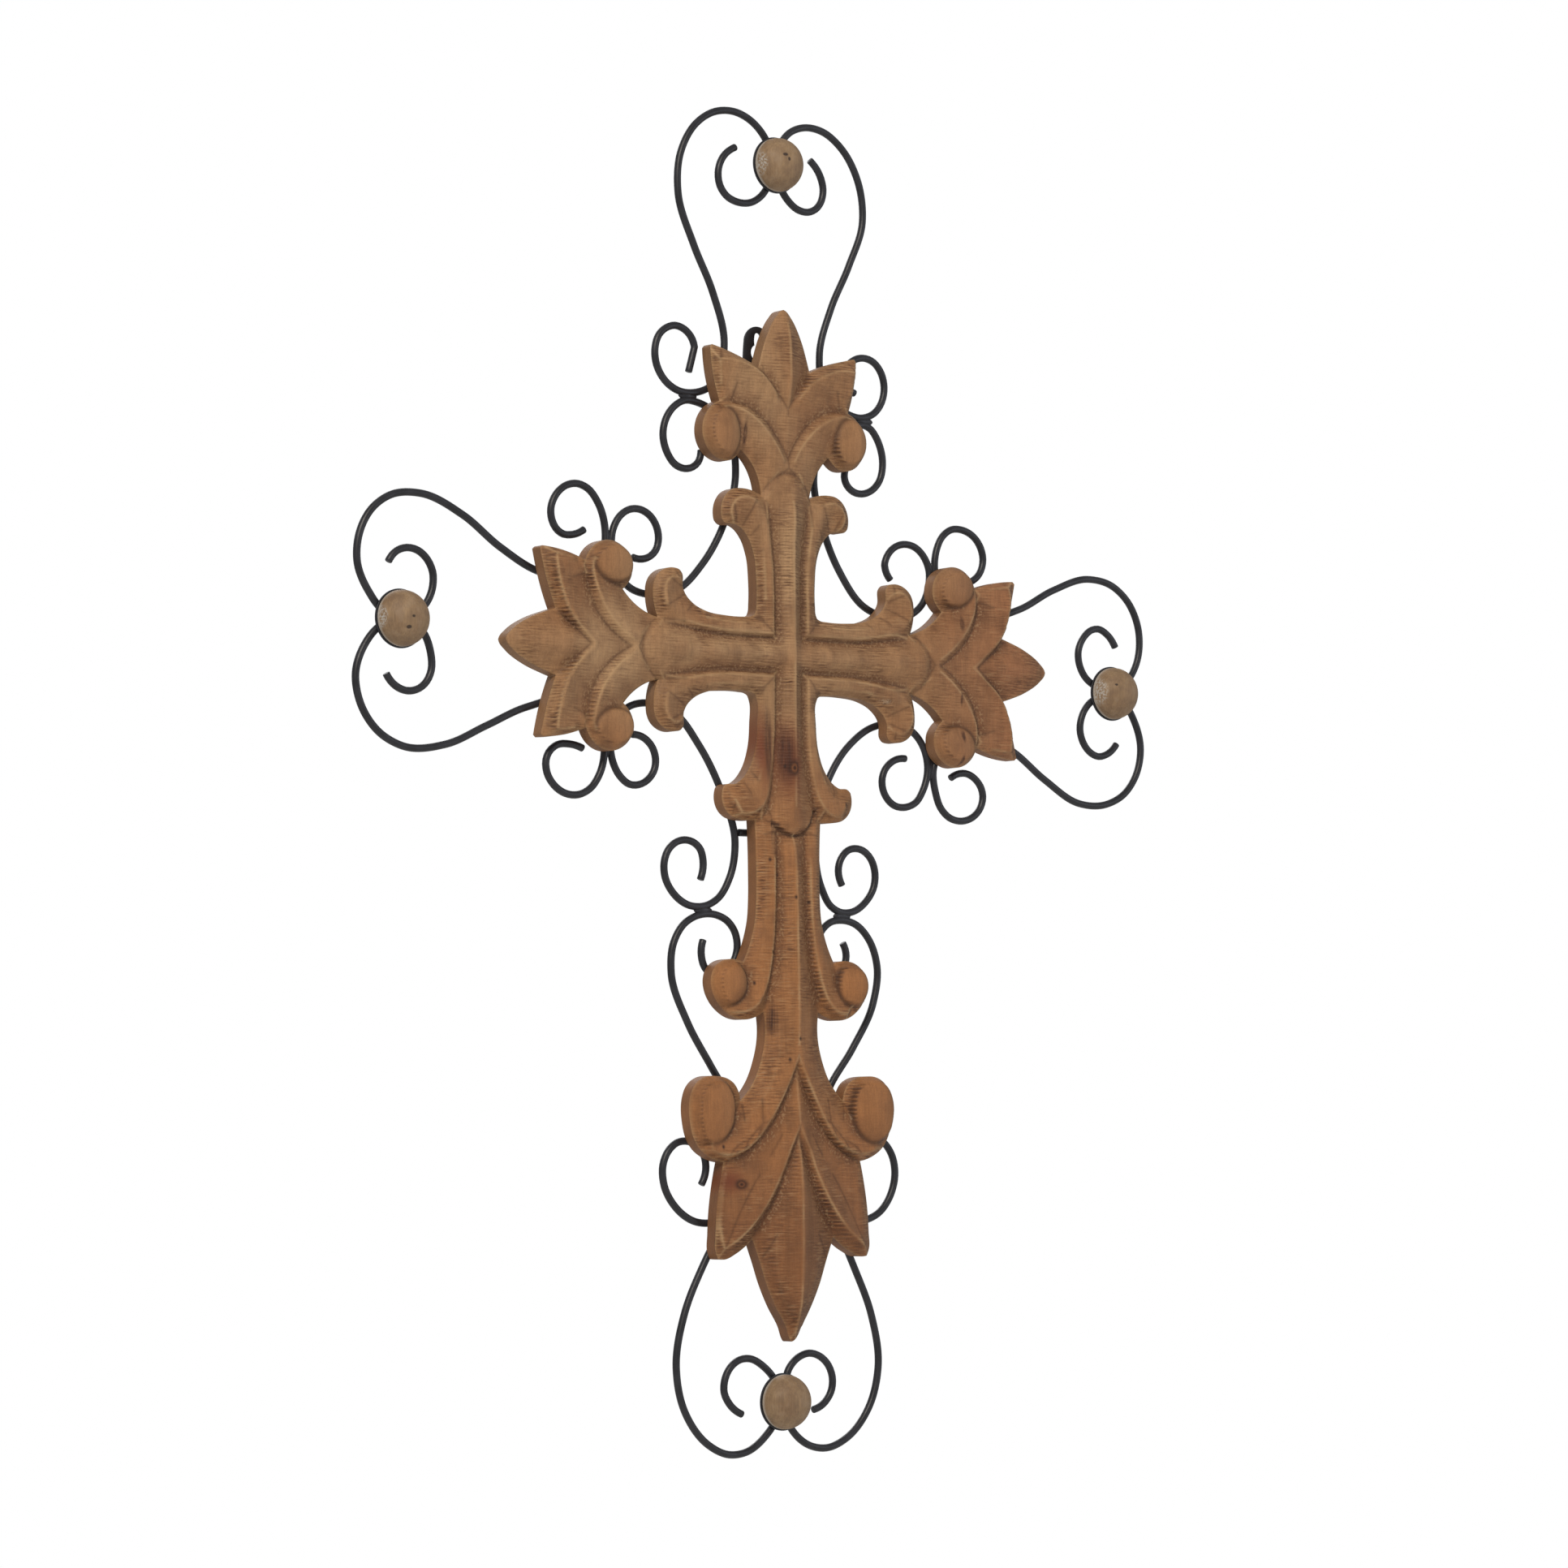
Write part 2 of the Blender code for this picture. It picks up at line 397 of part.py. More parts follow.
# Carved lines of the foot
FOOT_LINES = {
    "foot ridge": [(0, 0, 10.4), (0, -40, 10.4), (0, -80, 10.3), (0, -105, 10), (0, -117.5, 9.2)],
    "foot arm groove": [(11.5, -11.5, 2.5), (11.6, -40, 2.5), (12.3, -58, 2.5), (14.3, -76, 2.8),
                        (16.8, -92, 3.2), (20, -104, 3.2), (24, -110.5, 2.2)],
    "foot band crest": [(14.5, -14.5, 6), (14.5, -40, 5.9), (15.3, -58, 5.6), (17.5, -76, 5.9),
                        (20.4, -90, 6.8), (25.5, -101, 7.8), (33, -106.5, 7.6), (42, -107.6, 5.6)],
    "foot band edge": [(20.7, -20.7, 4.8), (20.7, -45, 4.8), (21.8, -62, 5), (25, -77, 5.6), (31, -89, 6.4),
                       (39, -96.5, 6.4), (47.5, -98.5, 5.2)],
    "tongue foot": [(19, -102, 3.2), (17.6, -108.5, 4.2), (13.2, -115, 5.4), (6.5, -119.3, 6.4),
                    (0, -120.6, 7.0)],
    "tongue crown": [(0, -117.5, 9.2), (5.4, -115.8, 8.6), (10.6, -111.6, 7.2), (13.6, -105, 6.2)],
    "shaft ridge": [(0, -120.6, 7.0), (0, -135, 9.4), (0, -155, 10.6), (0, -200, 11.4), (0, -240, 11.7),
                    (0, -269, 11.2)],
    "shaft groove": [(11.4, -121, 3), (12, -150, 2.8), (12.3, -175, 2.8), (13.8, -192, 2.8),
                     (16.2, -209, 2.7), (19.8, -225, 2.2), (25, -240, 0)],
    "shaft crest": [(14.6, -119.5, 4.8), (15.1, -135, 6), (15.3, -155, 6.2), (16, -176, 6.5),
                    (17.6, -192, 7), (20.3, -209, 7.5), (25, -224.5, 7.8), (31, -234.5, 7.4),
                    (39, -239.6, 6.2), (47.5, -240.4, 4.6)],
    "shaft edge": [(22, -121, 4.6), (21.6, -150, 4.8), (22.2, -176, 5), (25, -194, 5.2), (29.5, -208, 5.2),
                   (33.5, -219, 4.6)],
    "shaft ball groove": [(38.8, -206.7, 0), (38, -213, 2.2), (38.4, -220, 2.8), (40.8, -227, 3),
                          (45.5, -232.6, 3), (52, -235.6, 2.5)],
    "stem flank": [(11, -236, 7), (11.5, -252, 7), (13, -266, 7.2), (17.5, -281, 7.2), (25, -295, 6.6),
                   (34, -305.5, 5.8), (42, -313, 5)],
    "foot volute crest": [(0, -269, 11.2), (4.5, -279, 11.4), (9, -288.5, 11.6), (13.8, -297, 11.2),
                          (18.4, -304.5, 10.6), (24.6, -313.8, 9.8), (32, -323, 9.4), (40.5, -330.3, 9.2),
                          (50, -334.3, 8.6), (60, -335.2, 7.2), (69, -332.5, 6.4)],
    "foot volute rim": [(29, -314.5, 7.4), (35.5, -321.5, 7), (43, -327, 6.8), (52, -329.5, 6.6),
                        (61, -329, 6.2)],
    "foot pocket": [(45.5, -299.3, 0), (49, -305, 2.6), (52, -311.5, 3.6), (57.5, -317.5, 4),
                    (64.5, -321, 4.4), (71, -321.5, 5.4)],
    "side leaf ridge": [(0, -277, 7.6), (0, -290, 8.8), (0, -303, 10.6), (0, -316, 12)],
    "foot volute foot": [(0, -277, 7.6), (4.6, -285.5, 6.6), (10, -300, 6), (17.3, -311.6, 5.4),
                         (26.6, -322, 4.8), (37, -330.8, 3.8), (49, -337.4, 2.5), (60, -340.2, 0)],
    "foot leaf crest": [(0, -316, 12), (4, -323, 12.1), (7.6, -330.5, 11.8), (12.3, -341.5, 11.3),
                        (17.2, -351.5, 11.2), (23.3, -362, 11), (31, -373, 10.6), (40, -383, 9.8),
                        (50, -391.5, 8.2), (59.5, -397.3, 5.6)],
    "foot leaf rim": [(59.5, -397.3, 5.6), (61.6, -386, 4.2), (61, -372, 3.8), (59, -359, 3.7),
                      (56.5, -347.5, 3.6)],
    "foot leaf hollow": [(13, -322, 7.8), (22.5, -337, 6.8), (34, -353, 6), (45, -370, 5.6), (53, -385, 5.2)],
    "foot leaf foot": [(0, -323, 9), (4.6, -334, 7.9), (8.6, -344, 7.1), (13.2, -354.5, 6.3), (19.2, -366, 5),
                       (26.8, -378.3, 3), (36.3, -391.3, 0)],
    "middle leaf ridge": [(0, -323, 9), (0, -334, 12.2), (0, -350, 13.8), (0, -378, 14.4), (0, -408, 14),
                          (0, -428, 12.6), (0, -443, 9.8), (0, -453, 5.6)],
    "middle leaf flank": [(14, -372, 9.2), (18, -392, 8.2), (16.5, -412, 7.8), (11.5, -431, 7)],
}
SHAFT_BALL = (53.4, -220.6, 9.0, 7.4, 9.2)
FOOT_BALL = (68.5, -303.5, 11.5, 8.6, 10.6)


def ball_rings(ball, sides=12):
    """The two carved rings of a domed ball and its top: across, along, radius, ring and top height."""
    x, z, radius, ring_height, top_height = ball
    shoulder = ring_height + (1 - 0.5 ** 2) * (top_height - ring_height)
    outer = [(*point, ring_height) for point in arc(x, z, radius, 0, 360, sides)]
    inner = [(*point, shoulder) for point in arc(x, z, radius / 2, 0, 360, sides // 2)]
    return [outer, inner, [(x, z, top_height)]]


def arm_lines():
    lines = [read_off(line, TURN_OUTLINE, LONGEST_OUTLINE) for line in ARM_LINES.values()]
    return lines + ball_rings(ARM_BALL)


def foot_lines():
    lines = [read_off(line, TURN_OUTLINE, LONGEST_OUTLINE) for line in FOOT_LINES.values()]
    return lines + ball_rings(SHAFT_BALL) + ball_rings(FOOT_BALL, sides=14)


def outline_half(stretches):
    """One half of an outline, its stretches read off and joined at their corners."""
    points = []
    for stretch in stretches:
        points += read_off(stretch, TURN_OUTLINE, LONGEST_OUTLINE)[:-1]
    points.append(list(stretches[-1][-1]))
    return points


# Where the left edge starts to draw in, above the foot, and about which height the stem does
SHY_START = -200.0
SHY_RUN = 50.0
STEM_MIDDLE = 124.0
STEM_REACH = 9.0


def side_arm(point):
    """A point of the top arm, laid over to the right arm, whose finial is a little shorter."""
    across, along, *rest = point
    if along > NECK:
        along = NECK + (along - NECK) * SIDE_ARM
    return [along, across, *rest]


def left_side(point):
    """A point of the right half laid over to the left, where hand carving left the edge closer in.

    Only points on the arris move. The carving inside it is alike on both halves.
    """
    x, z, *height = point
    if any(height):
        return [-x, z, *height]
    share = min(max((SHY_START - z) / SHY_RUN, 0.0), 1.0)
    stem = math.exp(-((z - STEM_MIDDLE) / STEM_REACH) ** 2)
    shy = FOOT_SHY * share * share * (3 - 2 * share) + NECK_SHY * stem
    return [-(x - min(shy, x / 2)), z, *height]


def flip_z(point):
    return [point[0], -point[1], *point[2:]]


def board_outline():
    """The board's outline as one loop, from the top tip round the right side to the foot and back."""
    arm = outline_half(ARM_OUTLINE)
    side = [side_arm(point) for point in arm]
    right = arm + side[::-1][1:] + [flip_z(point) for point in side[1:]] + outline_half(FOOT_OUTLINE)[1:]
    return right + [left_side(point) for point in right[::-1][1:-1]]


def carved_lines():
    """All carved lines of the board; what lies on an axis of symmetry is laid down once."""
    arm = arm_lines()
    side = [[side_arm(point) for point in line] for line in arm]
    lower_side = [[flip_z(point) for point in line] for line in side]
    right = arm + side + lower_side + foot_lines()
    return right + [[left_side(point) for point in line] for line in right]


class Drawing:
    """Points and lines of the board's plan, each point laid down once."""

    def __init__(self):
        self.points = []
        self.heights = []
        self.lines = []
        self.index = {}

    def point(self, x, z, height):
        key = (round(x, 2), round(z, 2))
        if key not in self.index:
            self.index[key] = len(self.points)
            self.points.append(Vector((x, z)))
            self.heights.append(height)
        return self.index[key]

    def line(self, points):
        ids = [self.point(*point) for point in points]
        self.lines += [(a, b) for a, b in zip(ids, ids[1:]) if a != b]

    def height_at(self, spot, origin):
        """The height of a point of the plan; one where two lines cross takes its nearest neighbour's."""
        if origin:
            return max(self.heights[i] for i in origin)
        nearest = min(range(len(self.points)), key=lambda i: (self.points[i] - spot).length)
        return self.heights[nearest]


def make_board(collection, material):
    """The carved board: its plan triangulated along every carved line, raised, with walls and a back."""
    drawing = Drawing()
    outline = [(x, z, 0.0) for x, z in board_outline()]
    drawing.line(outline + outline[:1])
    loop = [drawing.point(*point) for point in outline]
    for line in carved_lines():
        drawing.line(line)
    plan, _, triangles, origins, _, _ = delaunay_2d_cdt(
        drawing.points, drawing.lines, [loop], 1, 1e-4)
    bm = bmesh.new()
    top = []
    for spot, origin in zip(plan, origins):
        height = drawing.height_at(spot, origin)
        top.append(bm.verts.new(place(spot.x, ARRIS + RELIEF * height, spot.y)))
    for triangle in triangles:
        bm.faces.new([top[i] for i in triangle])
    rim = [edge for edge in bm.edges if edge.is_boundary]
    walls = bmesh.ops.extrude_edge_only(bm, edges=rim)["geom"]
    back = [item for item in walls if isinstance(item, bmesh.types.BMVert)]
    for vert in back:
        vert.co.y = -BOARD_BACK * MM
    edges = [edge for edge in bm.edges if edge.is_boundary]
    bmesh.ops.contextual_create(bm, geom=edges)
    bmesh.ops.triangulate(bm, faces=[face for face in bm.faces if len(face.verts) > 4])
    bmesh.ops.recalc_face_normals(bm, faces=bm.faces)
    mesh = bpy.data.meshes.new("carved_cross")
    bm.to_mesh(mesh)
    bm.free()
    mesh.materials.append(material)
    obj = bpy.data.objects.new("carved_cross", mesh)
    collection.objects.link(obj)
    return obj


def link_mesh(name, mesh, collection, material):
    mesh.materials.append(material)
    obj = bpy.data.objects.new(name, mesh)
    collection.objects.link(obj)
    return obj


def make_disc(name, centre, collection, material):
    """The steel washer behind a button, lying on the two rods."""
    bm = bmesh.new()
    bmesh.ops.create_cone(bm, cap_ends=True, segments=ROUND_STEPS, radius1=DISC_D / 2 * MM,
                          radius2=DISC_D / 2 * MM, depth=DISC_T * MM)
    mesh = bpy.data.meshes.new(name)
    bm.to_mesh(mesh)
    bm.free()
    obj = link_mesh(name, mesh, collection, material)
    obj.location = place(centre[0], DISC_BACK + DISC_T / 2, centre[1])
    obj.rotation_euler = (math.pi / 2, 0, 0)
    return obj


def make_button(name, centre, collection, material):
    """A turned wooden button: a flat back, a short straight edge and a high dome."""
    radius = BUTTON_D / 2
    dome = arc(0, 0, 1.0, 0, 90, DOME_STEPS)[:-1]
    profile = [(radius * x, BUTTON_EDGE + (BUTTON_H - BUTTON_EDGE) * z) for x, z in dome]
    profile = [(0, 0), (radius, 0)] + profile + [(0, BUTTON_H)]
    mesh = bpy.data.meshes.new(name)
    verts = [(x * MM, 0, z * MM) for x, z in profile[::-1]]
    mesh.from_pydata(verts, [(i, i + 1) for i in range(len(verts) - 1)], [])
    obj = link_mesh(name, mesh, collection, material)
    screw = obj.modifiers.new("turn", "SCREW")
    screw.axis = "Z"
    screw.steps = ROUND_STEPS
    screw.render_steps = ROUND_STEPS
    screw.use_merge_vertices = True
    screw.merge_threshold = 0.00001
    screw.use_smooth_shade = True
    obj.location = place(centre[0], BUTTON_BACK, centre[1])
    obj.rotation_euler = (math.pi / 2, 0, 0)
    return obj


def clear_of(lean):
    """How far the end of a level tie rod stays from the axis of a rod that leans."""
    return ROD_D / 2 * (math.hypot(1, lean) + abs(lean)) + GAP


def make_bar(name, left_route, right_route, z, collection, material):
    """A straight tie rod, level, between two bent rods and clear of both."""
    left_x, left_lean = level_of(left_route, -1, z)
    right_x, right_lean = level_of(right_route, 1, z)
    curve = bpy.data.curves.new(name, "CURVE")
    curve.dimensions = "3D"
    curve.bevel_depth = ROD_D / 2 * MM
    curve.bevel_resolution = 2
    curve.use_fill_caps = True
    spline = curve.splines.new("POLY")
    spline.points.add(1)
    spline.points[0].co = (*place(left_x + clear_of(left_lean), ROD_AXIS, z), 1.0)
    spline.points[1].co = (*place(right_x - clear_of(right_lean), ROD_AXIS, z), 1.0)
    curve.materials.append(material)
    obj = bpy.data.objects.new(name, curve)
    collection.objects.link(obj)
    return obj


def make_weld(name, weld, upright, collection, material):
    """A small filler plate behind two rods that are welded side by side."""
    long_side = WELD_LONG * MM
    short_side = (ROD_D + 2 * GAP) * MM
    bm = bmesh.new()
    bmesh.ops.create_cube(bm, size=1.0)
    size = Vector((short_side if upright else long_side, WELD_T * MM, long_side if upright else short_side))
    bmesh.ops.scale(bm, vec=size, verts=bm.verts)
    mesh = bpy.data.meshes.new(name)
    bm.to_mesh(mesh)
    bm.free()
    obj = link_mesh(name, mesh, collection, material)
    obj.location = place(weld[0], ROD_AXIS - ROD_D / 2 - GAP - WELD_T / 2, weld[1])
    return obj


def add_loop(curve, points):
    spline = curve.splines.new("POLY")
    spline.points.add(len(points) - 1)
    for point, (x, y) in zip(spline.points, points):
        point.co = (x * MM, y * MM, 0, 1.0)
    spline.use_cyclic_u = True


def arc(x, y, radius, start, end, steps):
    """Points of an arc about (x, y), from one angle in degrees to another."""
    angles = [math.radians(start + (end - start) * i / steps) for i in range(steps + 1)]
    return [(x + radius * math.cos(a), y + radius * math.sin(a)) for a in angles]


def make_strap(collection, material):
    """The hanger strap: flat steel with a round top and a keyhole, its back on the wall plane."""
    half = STRAP_W / 2
    top = STRAP_TOP - half
    foot = TIE_UPPER_Z - STRAP_TAIL
    slot = KEYHOLE_SLOT / 2
    hole = KEYHOLE_D / 2
    mouth = math.degrees(math.asin(slot / hole))
    curve = bpy.data.curves.new("hanger_strap", "CURVE")
    curve.dimensions = "2D"
    curve.fill_mode = "BOTH"
    curve.extrude = STRAP_T / 2 * MM
    add_loop(curve, [(-half, foot), (half, foot)] + arc(0, top, half, 0, 180, STRAP_STEPS))
    keyhole_z = STRAP_TOP - KEYHOLE_DROP
    slot_top = keyhole_z + KEYHOLE_RISE - slot
    round_hole = arc(0, keyhole_z, hole, 90 + mouth, 450 - mouth, STRAP_STEPS)
    add_loop(curve, round_hole + arc(0, slot_top, slot, 0, 180, SLOT_STEPS))
    curve.materials.append(material)
    obj = bpy.data.objects.new("hanger_strap", curve)
    collection.objects.link(obj)
    obj.location = place(STRAP_X, STRAP_T / 2, 0)
    obj.rotation_euler = (math.pi / 2, 0, 0)
    return obj


def main():
    clear_scene()
    parts = new_collection("wall_cross")
    steel = new_material("black_painted_steel", (0.024, 0.024, 0.028), 0.45, 0.0)
    wood = new_material("stained_carved_wood", (0.27, 0.13, 0.06), 0.6, 0.0)
    bare_wood = new_material("bare_turned_wood", (0.36, 0.27, 0.17), 0.7, 0.0)
    make_board(parts, wood)
    routes = rod_routes()
    for name, route in routes.items():
        make_rod(name, route, parts, steel)
    make_bar("tie_bar_upper", routes["heart_top_left"], routes["heart_top_right"], TIE_UPPER_Z, parts, steel)
    make_bar("tie_bar_lower", routes["scroll_lower_left"], routes["scroll_lower_right"], TIE_LOWER_Z,
             parts, steel)
    for name, (weld, upright) in WELDS.items():
        make_weld("weld_" + name, weld, upright, parts, steel)
    for name, centre in BUTTONS.items():
        make_disc("disc_" + name, centre, parts, steel)
        make_button("button_" + name, centre, parts, bare_wood)
    make_strap(parts, steel)


main()
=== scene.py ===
# %% [markdown]
# # A carved wall cross on a frame of bent steel rod
#
# The real cross is one board of soft wood, cut out and carved by a router and then by hand, stained
# brown and rubbed back. It is fixed on a flat frame of black painted rod with four hearts of rod, each
# with a turned wooden button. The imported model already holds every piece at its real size, so this
# lesson only makes each surface look like the real one, and nothing is moved.

# %% Load the frame
import math

import bmesh
import bpy
import numpy as np
from mathutils import Matrix, Vector, noise
from mathutils.bvhtree import BVHTree
from mathutils.geometry import delaunay_2d_cdt
from mathutils.kdtree import KDTree


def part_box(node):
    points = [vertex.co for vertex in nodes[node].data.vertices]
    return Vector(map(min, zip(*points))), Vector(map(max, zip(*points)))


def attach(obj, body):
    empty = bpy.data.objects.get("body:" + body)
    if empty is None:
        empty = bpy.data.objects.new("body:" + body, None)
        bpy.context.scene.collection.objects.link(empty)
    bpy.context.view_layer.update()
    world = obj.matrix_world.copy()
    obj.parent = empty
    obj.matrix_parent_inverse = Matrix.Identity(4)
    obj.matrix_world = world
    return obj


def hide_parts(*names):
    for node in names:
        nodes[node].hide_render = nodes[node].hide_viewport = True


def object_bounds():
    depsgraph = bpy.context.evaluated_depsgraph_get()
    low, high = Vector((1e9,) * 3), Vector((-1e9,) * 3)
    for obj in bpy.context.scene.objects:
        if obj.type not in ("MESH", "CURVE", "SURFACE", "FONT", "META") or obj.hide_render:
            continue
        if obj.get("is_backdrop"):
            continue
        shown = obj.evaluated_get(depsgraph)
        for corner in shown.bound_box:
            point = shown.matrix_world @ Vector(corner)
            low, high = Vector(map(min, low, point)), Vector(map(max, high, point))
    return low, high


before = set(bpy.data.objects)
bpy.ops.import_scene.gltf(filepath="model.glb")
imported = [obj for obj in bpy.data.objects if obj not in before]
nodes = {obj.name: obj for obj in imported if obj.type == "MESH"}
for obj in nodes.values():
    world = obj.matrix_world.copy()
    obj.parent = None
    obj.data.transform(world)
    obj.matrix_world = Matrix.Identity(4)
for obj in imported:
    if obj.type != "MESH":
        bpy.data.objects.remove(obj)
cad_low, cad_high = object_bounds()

MM = 0.001
print("pieces in the frame:", len(nodes))
print("height of the cross:", round((cad_high.z - cad_low.z) / MM), "mm")

# %% [markdown]
# ## Small helpers
#
# A finished piece keeps its object at the origin, with its place in its mesh. Each one rides on the
# only body there is, takes its finish and hides the solid it stands for. One helper does this for all
# pieces, so that no piece can be forgotten.

# %% Helpers for pieces


def mesh_of(node):
    """A merged copy of a solid's mesh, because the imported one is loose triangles."""
    bm = bmesh.new()
    bm.from_mesh(nodes[node].data)
    bmesh.ops.remove_doubles(bm, verts=bm.verts, dist=0.001 * MM)
    bm.normal_update()
    return bm


def finish_piece(bm, name, material, solid):
    """The bmesh as a finished object in place of a solid, smooth but for its sharp edges."""
    mesh = bpy.data.meshes.new(name)
    bm.to_mesh(mesh)
    bm.free()
    mesh.materials.append(material)
    mesh.shade_smooth()
    piece = bpy.data.objects.new(name, mesh)
    bpy.context.scene.collection.objects.link(piece)
    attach(piece, "root")
    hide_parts(solid)
    print(f"{name}: {len(mesh.polygons)} faces")


# %% [markdown]
# ## Wood that was carved, stained and rubbed back
#
# The board is pine: grain runs upright over the whole cross, arms too, so it was cut from one panel.
# A brown stain pooled in the grooves and was rubbed off the edges, which show lighter and more yellow.
# The colour is a stack of a few layers: a base that drifts between brown and red-brown, fine upright
# grain, dark in the hollows as pooled stain and painted shade, pale on the crests as worn wood and
# painted highlight, and painted shade on flanks that face right and on the walls. Hollows and crests
# come from the carved surface itself, as attributes on the mesh, so the wear, the painted shade and the
# painted highlight always follow the carving. Knots, streaks and patches are ovals at the places where
# this board has them; some pale patches are painted highlight, and one small spot a painted glint.

# %% Colours and nodes


def linear(hexcode):
    """An sRGB hex colour as the linear values that a shader wants."""
    values = [int(hexcode[i:i + 2], 16) / 255 for i in (1, 3, 5)]
    return (*[v / 12.92 if v <= 0.04045 else ((v + 0.055) / 1.055) ** 2.4 for v in values], 1.0)


def add(tree, kind, inputs=None, stops=(), **settings):
    """A node with its settings; an input is a value or another node's output, stops fill a ramp."""
    node = tree.nodes.new("ShaderNode" + kind)
    for key, value in settings.items():
        setattr(node, key, value)
    for key, value in (inputs or {}).items():
        if isinstance(value, bpy.types.NodeSocket):
            tree.links.new(value, node.inputs[key])
        else:
            node.inputs[key].default_value = value
    while 0 < len(stops) > len(node.color_ramp.elements):
        node.color_ramp.elements.new(1.0)
    for index, (place, colour) in enumerate(stops):
        element = node.color_ramp.elements[index]
        element.position, element.color = place, linear(colour)
    return node


def new_finish(name):
    """An empty material, its nodes, its shader and its Object coordinates."""
    material = bpy.data.materials.new(name)
    material.use_nodes = True
    tree = material.node_tree
    return material, tree, tree.nodes["Principled BSDF"], add(tree, "TexCoord").outputs["Object"]


def per_mm(length):
    """The scale that gives a pattern one repeat in so many millimetres."""
    return 1 / (length * MM)


# %% Patterns in the wood
STRAP_FROM_MIDDLE = 11.0    # the frame's origin lies this far left of the crossing's middle, in mm
MOUNT_FROM_MIDDLE = 196.0   # and this far above it


def on_board(x, z):
    """A spot of the board, in millimetres from the middle of the crossing, in the frame's metres."""
    return Vector(((x + STRAP_FROM_MIDDLE) * MM, 0.0, (z - MOUNT_FROM_MIDDLE) * MM))


def grain(tree, coords, width, length, detail=4.0, lean=0.0):
    """Noise drawn out along the upright grain: streaks of a width and a length in millimetres."""
    across, along = per_mm(width), per_mm(length)
    stretched = add(tree, "Mapping", {"Vector": coords, "Scale": (across, across, along),
                                      "Rotation": (0.0, lean, 0.0)}, vector_type="POINT")
    return add(tree, "TexNoise", {"Vector": stretched.outputs["Vector"], "Scale": 1.0, "Detail": detail,
                                  "Roughness": 0.6}).outputs["Fac"]


def spot(tree, coords, x, z, wide, tall):
    """1 at a named spot of the board, falling to 0 at an oval of that size round it."""
    here = add(tree, "Mapping", {"Vector": coords, "Location": on_board(x, z),
                                 "Scale": (wide * MM / 2, 1.0, tall * MM / 2)}, vector_type="TEXTURE")
    flat = add(tree, "VectorMath", {0: here.outputs["Vector"], 1: (1.0, 0.0, 1.0)}, operation="MULTIPLY")
    reach = add(tree, "VectorMath", {0: flat.outputs["Vector"]}, operation="LENGTH")
    return add(tree, "MapRange", {"Value": reach.outputs["Value"], "From Min": 1.0, "From Max": 0.0},
               interpolation_type="SMOOTHSTEP").outputs["Result"]


# %% Where the wood is marked
RASTER = 2.1                    # step of the router's level passes, which show on every slope, in mm
COMB = 2.9                      # step of the coarse ticks on steep flanks
STIPPLE = 1.6                   # size of the pale dots in the troughs
RUDDY_HEIGHTS = (-0.23, -0.34)  # heights in the frame between which the shaft turns ruddy, in metres
DARK_HEIGHTS = (-0.49, -0.58)   # heights between which the foot turns darker
RUDDY_END = (0.12, 0.20)        # the right arm turns ruddy from one of these to the other
PIN_KNOT_SIZE = (3.6, 4.8)      # width and height of a pin knot, in mm

# A spot is x and z from the middle of the crossing, then its width and height, all in millimetres.
PIN_KNOTS = [(-7, -272), (-19, -138), (-12, -148), (-1, -163), (14, -166), (-18, -200), (-33, -221),
             (1, -258), (47, -99), (-61, -330), (30, -420), (-7, -75)]
DARK_STREAKS = [(151, 30, 5, 15), (150, -22, 5, 13), (149, -48, 6, 13), (148, -65, 5, 11),
                (-17, -245, 10, 28), (-20, -62, 8, 76), (-36, 148, 5, 30), (-6, -68, 17, 54)]
RING_KNOTS = [(-45, -355, 10, 7), (-1, -76, 8, 11)]
RED_PATCHES = [(-4, -72, 34, 82), (-54, -353, 34, 26), (-24, -64, 16, 84)]
# A whitish scuff, then a small painted glint on the foot.
SCUFF_AND_GLINT_SPOTS = [(83, -27, 16, 5), (49, -311, 3, 4)]
# Pale patches on the left arm, the top and the shaft: rubbed wood, and painted highlight where light falls.
PALE_AND_HIGHLIT_PATCHES = [(-92, 4, 50, 44), (-40, 6, 110, 34), (-25, 180, 70, 110), (-150, 0, 80, 90),
                (0, 60, 40, 110)]

# A ring knot is a dark ring, a brown one and a dark eye: share of its size, amount and colour of each.
KNOT_RINGS = [(1.45, 0.95, "#3d2215"), (0.8, 0.8, "#86532f"), (0.4, 0.9, "#3d2215")]
print("knots:", len(PIN_KNOTS) + len(RING_KNOTS), "and dark streaks:", len(DARK_STREAKS))

# %% Level marks, amounts and tints


def level_marks(tree, coords, step):
    """Level lines left by the tool: 0 in a trough, 1 on a ridge between two passes."""
    wave = math.tau / 20        # length of one wave of this texture at scale 1
    return add(tree, "TexWave", {"Vector": coords, "Scale": wave * per_mm(step), "Distortion": 3.0,
                                 "Detail": 2.0, "Detail Scale": 0.35, "Detail Roughness": 0.6},
               wave_type="BANDS", bands_direction="Z", wave_profile="SIN").outputs["Fac"]


def product(tree, amounts):
    """The product of amounts: numbers, outputs, or tuples of an output and the values it runs between.

    Such an output counts from 0 at the first value, or from a fourth number, to 1 at the second.
    """
    total = 1.0
    for amount in amounts:
        if isinstance(amount, tuple):
            value, low, high, *least = amount
            amount = add(tree, "MapRange", {"Value": value, "From Min": low, "From Max": high,
                                            "To Min": least[0] if least else 0.0}).outputs["Result"]
        total = add(tree, "Math", {0: amount, 1: total}, operation="MULTIPLY").outputs[0]
    return total


def tint(tree, colour, amounts, shade):
    """The colour with a shade laid over it, by the product of the amounts."""
    return add(tree, "Mix", {0: product(tree, amounts), 6: colour, 7: linear(shade)},
               data_type="RGBA").outputs[2]


# %% The carved wood


